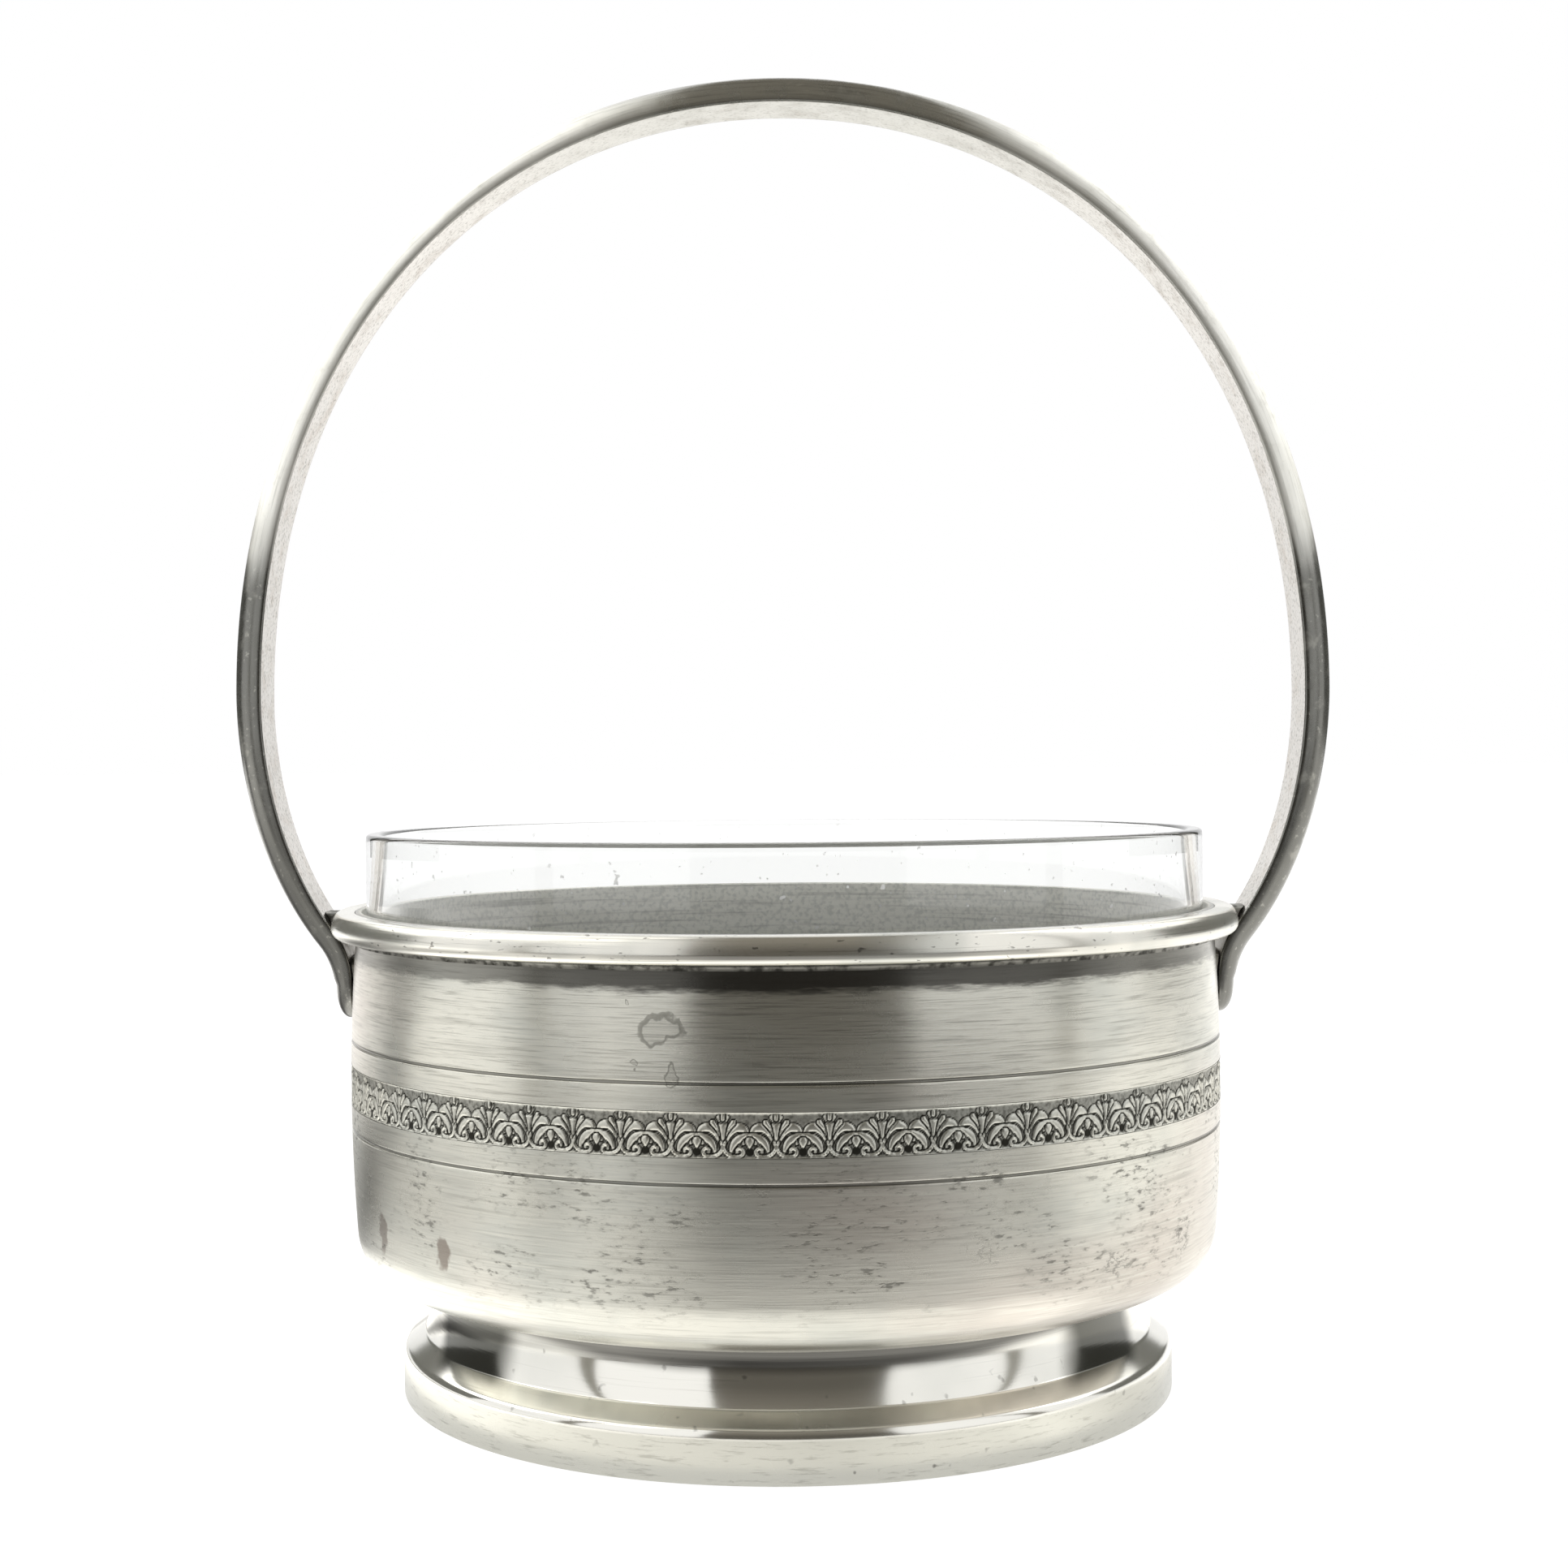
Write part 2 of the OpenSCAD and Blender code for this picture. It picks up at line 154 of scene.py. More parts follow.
def scene_object(name, data):
    """A new object in the scene."""
    made = bpy.data.objects.new(name, data)
    bpy.context.scene.collection.objects.link(made)
    return made


def end_fans(rows, columns, along, across):
    """Triangles that close a grid's first and last rows to the two points after it, and their UVs."""
    k = np.arange(columns)
    after = (k + 1) % columns
    base, tip = (rows - 1) * columns, np.full(columns, rows * columns)
    fans = np.concatenate((np.stack((tip, after, k), -1), np.stack((tip + 1, base + k, base + after), -1)))
    middle = (across[k] + across[k + 1]) / 2
    start, stop = np.full((columns, 3), along[0]), np.full((columns, 3), along[rows - 1])
    first = np.stack((start, np.stack((middle, across[k + 1], across[k]), -1)), -1)
    last = np.stack((stop, np.stack((middle, across[k], across[k + 1]), -1)), -1)
    return fans, np.concatenate((first, last))


def grid_piece(name, points, ends=None, along=None, across=None):
    """Makes a closed mesh from a grid of points in millimetres.

    Each row of the grid is a loop that closes on itself. The rows also close into a ring, unless ends
    gives two points: then the first and last rows are closed by a fan to one of them each. The UV map
    holds along for the rows and across for the columns. The signed volume says which way the faces
    turn, and they are turned outwards.
    """
    rows, columns = points.shape[:2]
    spots = points.reshape(-1, 3)
    i = np.arange(rows if ends is None else rows - 1)[:, None] + np.zeros((1, columns), int)
    j = np.arange(columns)[None, :] + np.zeros((i.shape[0], 1), int)
    row_steps = np.stack((i, i, i + 1, i + 1), -1).reshape(-1, 4)
    column_steps = np.stack((j, j + 1, j + 1, j), -1).reshape(-1, 4)
    quads = (row_steps % rows) * columns + column_steps % columns
    along = np.linspace(0, 1, rows + 1) if along is None else np.asarray(along)
    across = np.linspace(0, 1, columns + 1) if across is None else np.asarray(across)
    quad_uv = np.stack((along[row_steps], across[column_steps]), -1)
    fans, fan_uv = np.zeros((0, 3), int), np.zeros((0, 3, 2))
    if ends is not None:
        spots = np.concatenate((spots, np.asarray(ends, float)))
        fans, fan_uv = end_fans(rows, columns, along, across)
    corners = spots[np.concatenate((quads[:, :3], quads[:, [0, 2, 3]], fans))]
    volume = np.einsum("ij,ij->", corners[:, 0], np.cross(corners[:, 1], corners[:, 2]))
    if volume < 0:
        quads, quad_uv = quads[:, ::-1], quad_uv[:, ::-1]
        fans, fan_uv = fans[:, ::-1], fan_uv[:, ::-1]
    mesh = bpy.data.meshes.new(name)
    mesh.from_pydata(spots * MM, [], quads.tolist() + fans.tolist())
    mesh.polygons.foreach_set("use_smooth", np.ones(len(mesh.polygons), bool))
    uv = np.concatenate((quad_uv.reshape(-1, 2), fan_uv.reshape(-1, 2)))
    mesh.uv_layers.new(name="lay").data.foreach_set("uv", uv.astype(np.float32).ravel())
    mesh.set_sharp_from_angle(angle=SHARP_ANGLE)
    return scene_object(name, mesh)


def mark(piece, name, values):
    """Keeps one number for each point of a piece, for its finish to read."""
    numbers = np.zeros(len(piece.data.vertices), np.float32)
    flat = np.asarray(values, np.float32).ravel()
    numbers[:len(flat)] = flat
    piece.data.attributes.new(name, "FLOAT", "POINT").data.foreach_set("value", numbers)


def round_axis(r, angle, z):
    """Points (r cos a, r sin a, z) round the upright axis."""
    return np.stack((r * np.cos(angle), r * np.sin(angle), np.broadcast_to(z, r.shape)), -1)


def turned(name, outline, ring=True, swell=0):
    """A turned piece: the outline (radius, height) carried round the upright axis.

    A ring's outline closes on itself; any other starts and ends on the axis, where the piece is closed.
    swell adds to the radius, point by point and angle by angle. The UV map runs along the outline first
    and round the piece second, both in metres.
    """
    angle = np.linspace(0, 2 * math.pi, ROUND, endpoint=False) - math.pi / 2
    body = outline if ring else outline[1:-1]
    r = np.broadcast_to(body[:, :1] + swell, (len(body), ROUND))
    points = round_axis(r, angle, body[:, 1:])
    closed = np.concatenate((body, body[:1])) if ring else body
    across = np.linspace(0, 2 * math.pi, ROUND + 1) * BOWL_R * MM
    ends = None if ring else [(0, 0, outline[0, 1]), (0, 0, outline[-1, 1])]
    return grid_piece(name, points, ends, lengths(closed) * MM, across)


def cut_line(z):
    """Outline of one cut line: the wall dips to the line's depth and comes back with soft edges."""
    at = z + LINE_W / 2 * np.array([-1.25, -1, -0.8, -0.45, 0, 0.45, 0.8, 1, 1.25])
    dip = LINE_DEPTH * np.array([0, 0.06, 0.3, 0.9, 1, 0.9, 0.3, 0.06, 0])
    return np.column_stack((wall_radius(at) - dip, at))


def wall_run(low, high, count):
    """A plain stretch of the wall between two heights."""
    z = np.linspace(low, high, count + 1)
    return np.column_stack((wall_radius(z), z))


def make_bowl():
    """The bowl: flat underside, round corner, swelling wall with two cut lines and the frieze's seat,
    straight lip, and the same again inside at the thickness of the sheet."""
    corner = arc(CORNER_X, CORNER_Z, BOWL_CORNER_R, -90, BELLY_LOW, 18)
    seat = FRIEZE_R - FRIEZE_DEPTH
    edge = MOUTH_EDGE
    outer = joined(
        [0, FOOT_H], np.linspace([4, FOOT_H], [CORNER_X - 0.5, FOOT_H], 9), corner,
        wall_run(corner[-1, 1] + 0.3, LOW_LINE - LINE_W, 10), cut_line(LOW_LINE),
        wall_run(LOW_LINE + LINE_W, FRIEZE_Z, 4), [[seat, FRIEZE_Z], [seat, FRIEZE_TOP]],
        wall_run(FRIEZE_TOP, HIGH_LINE - LINE_W, 4), cut_line(HIGH_LINE),
        wall_run(HIGH_LINE + LINE_W, LIP_Z, 10), [BOWL_R, LIP_Z + 1],
        arc(BOWL_R - edge, MOUTH_Z - edge, edge, 0, 90, 4))
    inner = joined(
        arc(MOUTH_R + edge, MOUTH_Z - edge, edge, 90, 180, 4),
        arc(BELLY_X, BELLY_Z, BELLY_R - BOWL_SHEET, INNER_HIGH, BELLY_LOW, 24),
        arc(CORNER_X, CORNER_Z, BOWL_CORNER_R - BOWL_SHEET, BELLY_LOW, -90, 14),
        np.linspace([CORNER_X - 0.5, FLOOR_Z], [4, FLOOR_Z], 9), [0, FLOOR_Z])
    piece = turned("bowl_wall", joined(outer, inner), ring=False)
    rows = len(outer) + len(inner) - 2
    mark(piece, "inside", np.append(np.repeat(np.arange(rows) >= len(outer) - 1, ROUND), (0, 1)))
    return piece


def make_moulding():
    """The moulding: a tight arc below its widest place, a tall one above, a flat top and an upright
    inner face."""
    top = math.degrees(math.asin(BEAD_UP / BEAD_UP_R))
    inner = BOWL_R + FILM
    return turned("mouth_moulding", joined(
        [inner, BEAD_Z], [inner + 0.8, BEAD_Z],
        arc(BEAD_R - BEAD_LOW_R, BEAD_MID_Z, BEAD_LOW_R, -90, 0, 16),
        arc(BEAD_R - BEAD_UP_R, BEAD_MID_Z, BEAD_UP_R, 0, top - 6, 16),
        [[inner + BEAD_LEDGE - 0.25, MOUTH_Z - 0.02], [inner + BEAD_LEDGE - 0.6, MOUTH_Z],
         [inner + 0.1, MOUTH_Z], [inner, MOUTH_Z - 0.1], [inner, BEAD_Z + 0.5]]))


def make_foot():
    """The foot: hem, upright band with a round edge, sloping shoulder, tight hollow, steep cove, waist
    and the flange under the bowl, and the same again inside at the thickness of the sheet."""
    cove, slope = 180 + math.degrees(COVE_TURN), math.degrees(SHOULDER_TURN)
    hollow = arc(TOE_X, TOE_Z, TOE_R, 180 + slope, cove, 12)
    lip = arc(FOOT_R - FOOT_LIP, FOOT_BAND_H, FOOT_LIP, 0, slope, 12)
    return turned("spun_foot", joined(
        [[FOOT_R - FOOT_HEM_W, 0], [FOOT_R - 0.6, 0]],
        arc(FOOT_R - HEM_EDGE, HEM_EDGE, HEM_EDGE, -90, 0, 4),
        np.linspace([FOOT_R, 0.6], lip[0], 6), lip,
        np.linspace(lip[-1], hollow[0], 9)[1:-1], hollow,
        arc(COVE_X, COVE_Z, COVE_R, cove, 180, 24),
        [[NECK_R, FOOT_TOP - 0.4], [NECK_R, FOOT_TOP], [NECK_R - FOOT_FLANGE_W, FOOT_TOP],
         [NECK_R - FOOT_FLANGE_W, FOOT_TOP - FOOT_SHEET], [NECK_R - FOOT_SHEET, FOOT_TOP - FOOT_SHEET]],
        arc(COVE_X, COVE_Z, COVE_R + FOOT_SHEET, 180, cove, 8),
        arc(TOE_X, TOE_Z, TOE_R + FOOT_SHEET, cove, 180 + slope, 8),
        [[FOOT_R - FOOT_SHEET, FOOT_INNER_Z], [FOOT_R - FOOT_SHEET, FOOT_SHEET],
         [FOOT_R - FOOT_HEM_W, FOOT_SHEET]]))


def make_seam(name, r, z, leg):
    """A run of solder in the corner between an upright face and a face above it: a hollow fillet whose
    free face is uneven round the ring."""
    angle = np.linspace(0, 2 * math.pi, ROUND, endpoint=False)
    hollow = arc(r + leg, z - leg, leg, 90, 180, 8)
    free = np.sin(np.linspace(0, math.pi, len(hollow)))
    lumps = np.multiply.outer(np.concatenate(([0], free)), waves(angle, 0.14 * leg, 5, 60, 24))
    return turned(name, joined([r, z], hollow), swell=lumps - 0.02 * leg * (lumps != 0))


def make_liner():
    """The glass: a hollow under the base, a standing ring, round corners, a straight wall and a rim with
    both edges rounded. The ring stays a film above the bowl's floor, so that no two faces share a place."""
    edge, rim_z, hollow_z = LINER_RIM_ROUND, LINER_TOP - LINER_RIM_ROUND, FLOOR_Z + LINER_RECESS
    outer_z, inner_z = FLOOR_Z + LINER_CORNER, LINER_FLOOR + LINER_INNER_CORNER
    inner_x = LINER_INNER_R - LINER_INNER_CORNER
    outline = joined(
        [0, hollow_z], np.linspace([3, hollow_z], [LINER_RECESS_R, hollow_z], 7),
        [LINER_RECESS_R + LINER_RECESS, FLOOR_Z],
        arc(LINER_STAND_R, outer_z, LINER_CORNER, -90, 0, 18),
        np.linspace([LINER_R, outer_z + 1], [LINER_R, rim_z - 0.5], 13),
        arc(LINER_R - edge, rim_z, edge, 0, 90, 8),
        arc(LINER_INNER_R + edge, rim_z, edge, 90, 180, 8),
        np.linspace([LINER_INNER_R, rim_z - 0.5], [LINER_INNER_R, inner_z + 1], 13),
        arc(inner_x, inner_z, LINER_INNER_CORNER, 0, -90, 14),
        np.linspace([inner_x - 1, LINER_FLOOR], [3, LINER_FLOOR], 7), [0, LINER_FLOOR])
    outline[:, 1] = np.maximum(outline[:, 1], FLOOR_Z + FILM)
    return turned("glass_cup", outline, ring=False)


def bezier(a, b, c, d, t):
    """Cubic curve through a and d, pulled towards b and c."""
    t = t[:, None]
    return (1 - t) ** 3 * a + 3 * t * (1 - t) ** 2 * b + 3 * t * t * (1 - t) * c + t ** 3 * d


def side_line(t):
    """The bow's inner face from the place where it passes the moulding to its widest place."""
    reach = WAIST[1] - PASS[1]
    lean = np.array([math.sin(BEND_TURN), math.cos(BEND_TURN)])
    return bezier(PASS, PASS + FOOT_PULL * reach * lean, WAIST - [0, SIDE_PULL * reach], WAIST, t)


def bow_line():
    """The bow's inner face as points (x, z): straight tongue, bend, side and top, and the mirror image."""
    turn = math.degrees(BEND_TURN)
    top = bezier(WAIST, WAIST + [0, SHOULDER_PULL * (CROWN[1] - WAIST[1])],
                 np.array([CROWN_PULL * WAIST[0], CROWN[1]]), CROWN, np.linspace(0, 1, 400))
    tongue = np.column_stack((np.full(40, TONGUE_X), TIP_Z + TONGUE_LEN * np.linspace(0, 1, 40) ** 1.6))
    half = joined(tongue, arc(TONGUE_X + BEND_R, BEND_Z, BEND_R, 180, 180 - turn, 40),
                  side_line(np.linspace(0, 1, 200)), top)
    return np.concatenate((half, (half * [-1, 1])[-2::-1]))


def bow_stations():
    """Stations along the bow, closer together at both tips: distance run, place and outward direction."""
    fine = bow_line()
    run = lengths(fine)
    tip = np.geomspace(0.05, 4, 16)
    at = np.unique(np.concatenate(([0], tip, np.linspace(4, run[-1] - 4, 330), run[-1] - tip, [run[-1]])))
    line = np.column_stack((np.interp(at, run, fine[:, 0]), np.interp(at, run, fine[:, 1])))
    step = np.gradient(line, at, axis=0)
    step /= np.linalg.norm(step, axis=1)[:, None]
    return at, line, np.column_stack((step[:, 1], -step[:, 0]))


def bar_loops(w, t):
    """Loops round the half-round bar, across it and outwards, from its half widths and thicknesses.

    The dome is w cos a across and t sin a outwards, drawn in by the edge's radius and grown back by it,
    so that both edges are rounded; the flat face closes it. Two more rows say which points lie on the
    flat face, and how near the dome's points are to its edges.
    """
    edge = np.minimum(BAR_EDGE, BAR_EDGE_SHARE * t)
    half_w, high, round_r = (size[:, None] for size in (w - edge, t - 2 * edge, edge))
    a = np.linspace(0, math.pi, 33)
    lie = np.linspace(1, -1, 13)
    turn = np.radians(np.linspace(-90, 0, 5))[1:-1]
    slope_y, slope_n = high * np.cos(a), half_w * np.sin(a)
    size = np.hypot(slope_y, slope_n) + 1e-9
    dome_y = half_w * np.cos(a) + round_r * slope_y / size
    dome_n = round_r + high * np.sin(a) + round_r * slope_n / size
    flat_y = -half_w * lie
    corner_y, corner_n = half_w + round_r * np.cos(turn), round_r + round_r * np.sin(turn)
    across = np.concatenate((dome_y, -corner_y[:, ::-1], flat_y, corner_y), 1)
    outward = np.concatenate((dome_n, corner_n[:, ::-1], 0 * flat_y, corner_n), 1)
    flat = np.repeat([0, 0, 1, 0], [len(a), len(turn), len(lie), len(turn)])
    flank = np.concatenate((np.abs(np.cos(a)), np.ones(len(flat) - len(a))))
    return across, outward, flat, flank


def make_bow():
    """The bow: a half-round bar carried along its line. Width and thickness shrink at the tongue's round
    end, and the bar thins towards the tongue."""
    at, line, out = bow_stations()
    near = np.minimum(1, (line[:, 1] - TIP_Z + TIP_FLAT) / (BAR_W / 2))
    rounding = np.sqrt(1 - (1 - near) ** 2)
    body = np.clip((line[:, 1] - BEND_Z) / (WAIST[1] - BEND_Z), 0, 1) ** THINNING
    t = (TONGUE_T + (BAR_T - TONGUE_T) * body) * rounding ** TIP_DOME
    across, outward, flat, flank = bar_loops(BAR_W / 2 * rounding, t)
    points = np.stack((line[:, :1] + out[:, :1] * outward, across, line[:, 1:] + out[:, 1:] * outward), -1)
    middle = len(at) // 2
    loop = np.column_stack((across[middle], outward[middle]))
    lap = lengths(np.concatenate((loop, loop[:1]))) * MM
    piece = grid_piece("bow_handle", points, [points[0].mean(0), points[-1].mean(0)], at * MM, lap)
    mark(piece, "flat_face", np.broadcast_to(flat, across.shape))
    mark(piece, "flank", np.broadcast_to(flank, across.shape))
    return piece


def face_x(z):
    """Distance of the bow's inner face from the axis at height z, up to the moulding: the straight
    tongue and then the bend's arc."""
    turn = np.arcsin(np.clip((z - BEND_Z) / BEND_R, 0, 0.999))
    return TONGUE_X + BEND_R * (1 - np.cos(turn))


def lumpy_block(name, side, width, low, high, inner, outer):
    """A run of solder between two faces, from one edge of the bar to the other.

    Rows go across the bar and shrink to round ends. Each row is a loop in the upright plane: up the
    outer face, whose distance is outer(z), and down the inner one, inner(z, y). Between them the free
    edges are drawn in unevenly.
    """
    s = np.sin(np.linspace(-math.pi / 2, math.pi / 2, 25)[1:-1])
    y = s * width / 2
    fat = np.sqrt(1 - s ** 2) ** 0.5
    up = np.linspace(0, 1, 13)
    middle = low + 0.45 * (high - low)
    uneven = 1 + 0.1 * waves(np.linspace(0, 6, len(y)), 1, 2, 9, 6)
    z = middle + (low + (high - low) * up - middle) * (fat * uneven).clip(0, 1)[:, None]
    x_in = inner(z, y[:, None])
    x_out = x_in + (outer(z) - x_in) * (0.25 + 0.75 * fat[:, None])
    x_out = np.maximum(x_out, x_in + 0.02)
    x = side * np.concatenate((x_out, x_in[:, ::-1]), 1)
    zz = np.concatenate((z, z[:, ::-1]), 1)
    points = np.stack((x, np.broadcast_to(y[:, None], x.shape), zz), -1)
    return grid_piece(name, points, [points[0].mean(0), points[-1].mean(0)])


def make_wedge(name, side):
    """The solder behind a tongue, between the wall and the bar's flat face."""
    return lumpy_block(name, side, BAR_W + SOLDER_SPREAD, TIP_Z + SOLDER_SPREAD, WEDGE_TOP,
                       lambda z, y: np.sqrt((wall_radius(z) + FILM) ** 2 - y ** 2),
                       lambda z: face_x(z) - FILM)


def make_dab(name, side):
    """The solder in the crevice where the bow passes the moulding."""
    line = side_line(np.linspace(0, 0.5, 60))

    def moulding(z, y):
        lean = np.sqrt((BEAD_UP_R + FILM) ** 2 - (z - BEAD_MID_Z) ** 2)
        return np.sqrt((BEAD_R - BEAD_UP_R + lean) ** 2 - y ** 2)

    return lumpy_block(name, side, BAR_W - 2 * SOLDER_SPREAD, BEAD_MID_Z + FILM, BEAD_MID_Z + DAB_H,
                       moulding, lambda z: np.interp(z, line[:, 1], line[:, 0]) - FILM)


# Palmette frieze
MOTIFS, MOTIF_COLUMNS, FRIEZE_ROWS = 61, 44, 33
PITCH = 2 * math.pi * FRIEZE_R / MOTIFS
FRIEZE_TURN, RELIEF, STROKE_SPREAD = -0.0195, 0.24, 0.05

# Strokes of the motif: marks as x from its middle, y and radius, in millimetres
OUTER_LEAF = [(0.10, 1.15, 0.07), (0.38, 1.85, 0.13), (0.75, 2.50, 0.22), (1.20, 2.95, 0.32),
              (1.72, 3.08, 0.36), (2.15, 2.94, 0.28), (2.38, 2.74, 0.18)]
MID_LEAF = [(0.04, 1.75, 0.05), (0.30, 2.45, 0.10), (0.65, 3.05, 0.14), (1.06, 3.58, 0.20)]
HEART = [(0, 1.40, 0.06), (0, 2.30, 0.12), (0, 3.00, 0.26), (0, 3.55, 0.40), (0, 3.85, 0.38)]
HEART_LOBE = [(0.20, 3.80, 0.16), (0.38, 4.10, 0.20)]
HEART_TOP = [(0, 3.95, 0.16), (0, 4.26, 0.17)]
ARCH = [(0.92, 0.55, 0.22), (0.93, 1.00, 0.23), (1.15, 1.55, 0.27), (1.60, 1.93, 0.32),
        (2.15, 2.08, 0.34), (2.683, 2.10, 0.34)]
DROP = [(2.683, 1.72, 0.36), (2.683, 1.42, 0.22), (2.683, 1.12, 0.07)]
DROP_LEAF = [(2.30, 1.70, 0.16), (2.10, 1.52, 0.12)]
VOLUTE_EYE = [(1.50, 0.58, 0.34), (1.56, 0.60, 0.34)]
VOLUTE = [(-0.22, 1.62, 0.08), (0.02, 1.06, 0.12), (0.32, 0.52, 0.13), (0.85, 0.22, 0.13),
          (1.45, 0.14, 0.12), (1.95, 0.36, 0.12), (2.02, 0.74, 0.12), (1.72, 1.00, 0.11),
          (1.42, 0.86, 0.10), (1.44, 0.60, 0.09)]

# The strokes from the back to the front, each with the height of its top
STROKES = [(OUTER_LEAF, 0.86), (MID_LEAF, 0.94), (HEART, 0.9), (HEART_LOBE, 0.96), (HEART_TOP, 0.96),
           (ARCH, 0.84), (DROP_LEAF, 0.8), (DROP, 0.9), (VOLUTE_EYE, 0.7), (VOLUTE, 1.0)]


def smooth_line(marks, fine=14):
    """A smooth curve through marks (x, y, radius), by the mean-slope cubic between each two."""
    p = np.asarray(marks, float)
    p = np.concatenate((2 * p[:1] - p[1:2], p, 2 * p[-1:] - p[-2:-1]))
    t = np.linspace(0, 1, fine, endpoint=False)[None, :, None]
    a, b, c, d = (p[k:len(p) - 3 + k, None, :] for k in range(4))
    run = 0.5 * (2 * b + (c - a) * t + (2 * a - 5 * b + 4 * c - d) * t ** 2
                 + (3 * b - a - 3 * c + d) * t ** 3)
    return np.concatenate((run.reshape(-1, 3), p[-2:-1]))


def stroke_edge(marks, x, y):
    """Distance of each point from the edge of a stroke and its mirror image, less than 0 inside it. The
    motif repeats, so the strokes of both neighbours count too."""
    line = smooth_line(marks)
    edge = np.full(x.shape, 9.0)
    for turn in (1, -1):
        for shift in (-PITCH, 0, PITCH):
            gap = np.hypot(x[..., None] - turn * line[:, 0] - shift, y[..., None] - line[:, 1]) - line[:, 2]
            edge = np.minimum(edge, gap.min(-1))
    return edge


def palmette():
    """One motif of the frieze as heights from 0, the ground, to 1, and as oxide from 0, bare, to 1.

    Strokes are laid one over the other, those at the back first. Each has a round top and presses a
    groove round itself into what lies under it. Oxide fills the grooves and the ground near them.
    """
    x, y = np.meshgrid((np.arange(MOTIF_COLUMNS) / MOTIF_COLUMNS - 0.5) * PITCH,
                       np.linspace(0, FRIEZE_H - 2 * FILM, FRIEZE_ROWS))
    height = 0.3 + 0.05 * np.sin(9 * x + 3) * np.sin(11 * y)
    dark = np.full(x.shape, 0.52)
    for marks, lift in STROKES:
        edge = stroke_edge(marks, x, y) - STROKE_SPREAD
        inside = np.clip(0.5 - edge / 0.1, 0, 1)
        groove = np.clip(1.15 - np.abs(edge - 0.06) / 0.15, 0, 1)
        top = lift * (0.55 + 0.45 * np.sqrt(np.clip(-edge / 0.22, 0, 1)))
        height = height * (1 - groove) * (1 - inside) + top * inside
        dark = np.maximum(dark, groove) * (1 - inside) + 0.35 * np.clip(1 + edge / 0.08, 0, 1) * inside
    void = np.clip(1.2 - np.hypot((np.abs(x) - PITCH / 2) / 0.62, (y - 0.62) / 0.5), 0, 1)
    dark = np.maximum(dark, np.where(height < 0.35, void * 1.6, 0))
    low_edge, high_edge = np.clip(1 - y / 0.16, 0, 1), np.clip(1 - (y[-1:] - y) / 0.2, 0, 1)
    rail = np.maximum(np.sqrt(low_edge) * 0.85, np.sqrt(high_edge))
    dark = dark * (1 - np.maximum(0.55 * low_edge, high_edge))
    return np.maximum(height, rail), np.clip(dark, 0, 1)


def make_frieze():
    """The rolled strip: the motif repeated round a ring. The face lies at the wall's radius less the
    relief where the ground is low, and a plain back closes it."""
    height, dark = palmette()
    columns = MOTIFS * MOTIF_COLUMNS
    angle = (np.arange(columns) / MOTIF_COLUMNS - 0.5) * 2 * math.pi / MOTIFS + FRIEZE_TURN - math.pi / 2
    face = FRIEZE_R - RELIEF * (1 - np.tile(height, MOTIFS))
    back = np.full((2, columns), FRIEZE_R - FRIEZE_DEPTH + FILM)
    r = np.concatenate((face, back))
    z = np.linspace(FRIEZE_Z + FILM, FRIEZE_TOP - FILM, FRIEZE_ROWS)
    z = np.concatenate((z, z[[-1, 0]]))[:, None]
    piece = grid_piece("palmette_frieze", round_axis(r, angle, z))
    mark(piece, "oxide", np.concatenate((np.tile(dark, MOTIFS), np.ones((2, columns)))))
    return piece


# Finishes
class Nodes:
    """Adds nodes to the tree of a material or world. Inputs are plain values or outputs of other nodes."""

    def __init__(self, owner):
        owner.use_nodes = True
        self.tree = owner.node_tree
        self.tree.nodes.clear()

    def feed(self, target, value):
        """Links an output to a socket, or sets a plain value on it."""
        if isinstance(value, bpy.types.NodeSocket):
            self.tree.links.new(value, target)
        else:
            target.default_value = value

    def put(self, kind, inputs=None, out=0, **settings):
        """Adds one node with its settings and inputs, and returns one of its outputs."""
        node = self.tree.nodes.new("ShaderNode" + kind)
        for key, value in settings.items():
            setattr(node, key, value)
        for key, value in (inputs or {}).items():
            self.feed(node.inputs[key], value)
        return node.outputs[out]

    def end(self, surface, kind="Material"):
        """Makes a shader the one that shows."""
        self.feed(self.tree.nodes.new("ShaderNodeOutput" + kind).inputs["Surface"], surface)

    def maths(self, operation, first, second=0.0):
        """One step of arithmetic."""
        return self.put("Math", {0: first, 1: second}, operation=operation)

    plus = partialmethod(maths, "ADD")
    minus = partialmethod(maths, "SUBTRACT")
    times = partialmethod(maths, "MULTIPLY")

    def apart(self, first, second):
        """How far apart two numbers are."""
        return self.maths("ABSOLUTE", self.minus(first, second))

    def most(self, first, *others):
        """The largest of several numbers."""
        for other in others:
            first = self.maths("MAXIMUM", first, other)
        return first

    def rise(self, value, low, high, start=0.0, stop=1.0):
        """A smooth step from start to stop as the value goes from low to high."""
        return self.put("MapRange", {"Value": value, "From Min": low, "From Max": high, "To Min": start,
                                     "To Max": stop}, interpolation_type="SMOOTHSTEP")

    def layers(self, colour, *coats):
        """A colour with coats laid over it in turn, each given as its share and its own colour."""
        for share, coat in coats:
            colour = self.put("Mix", {0: share, 6: colour, 7: coat}, out=2, data_type="RGBA")
        return colour


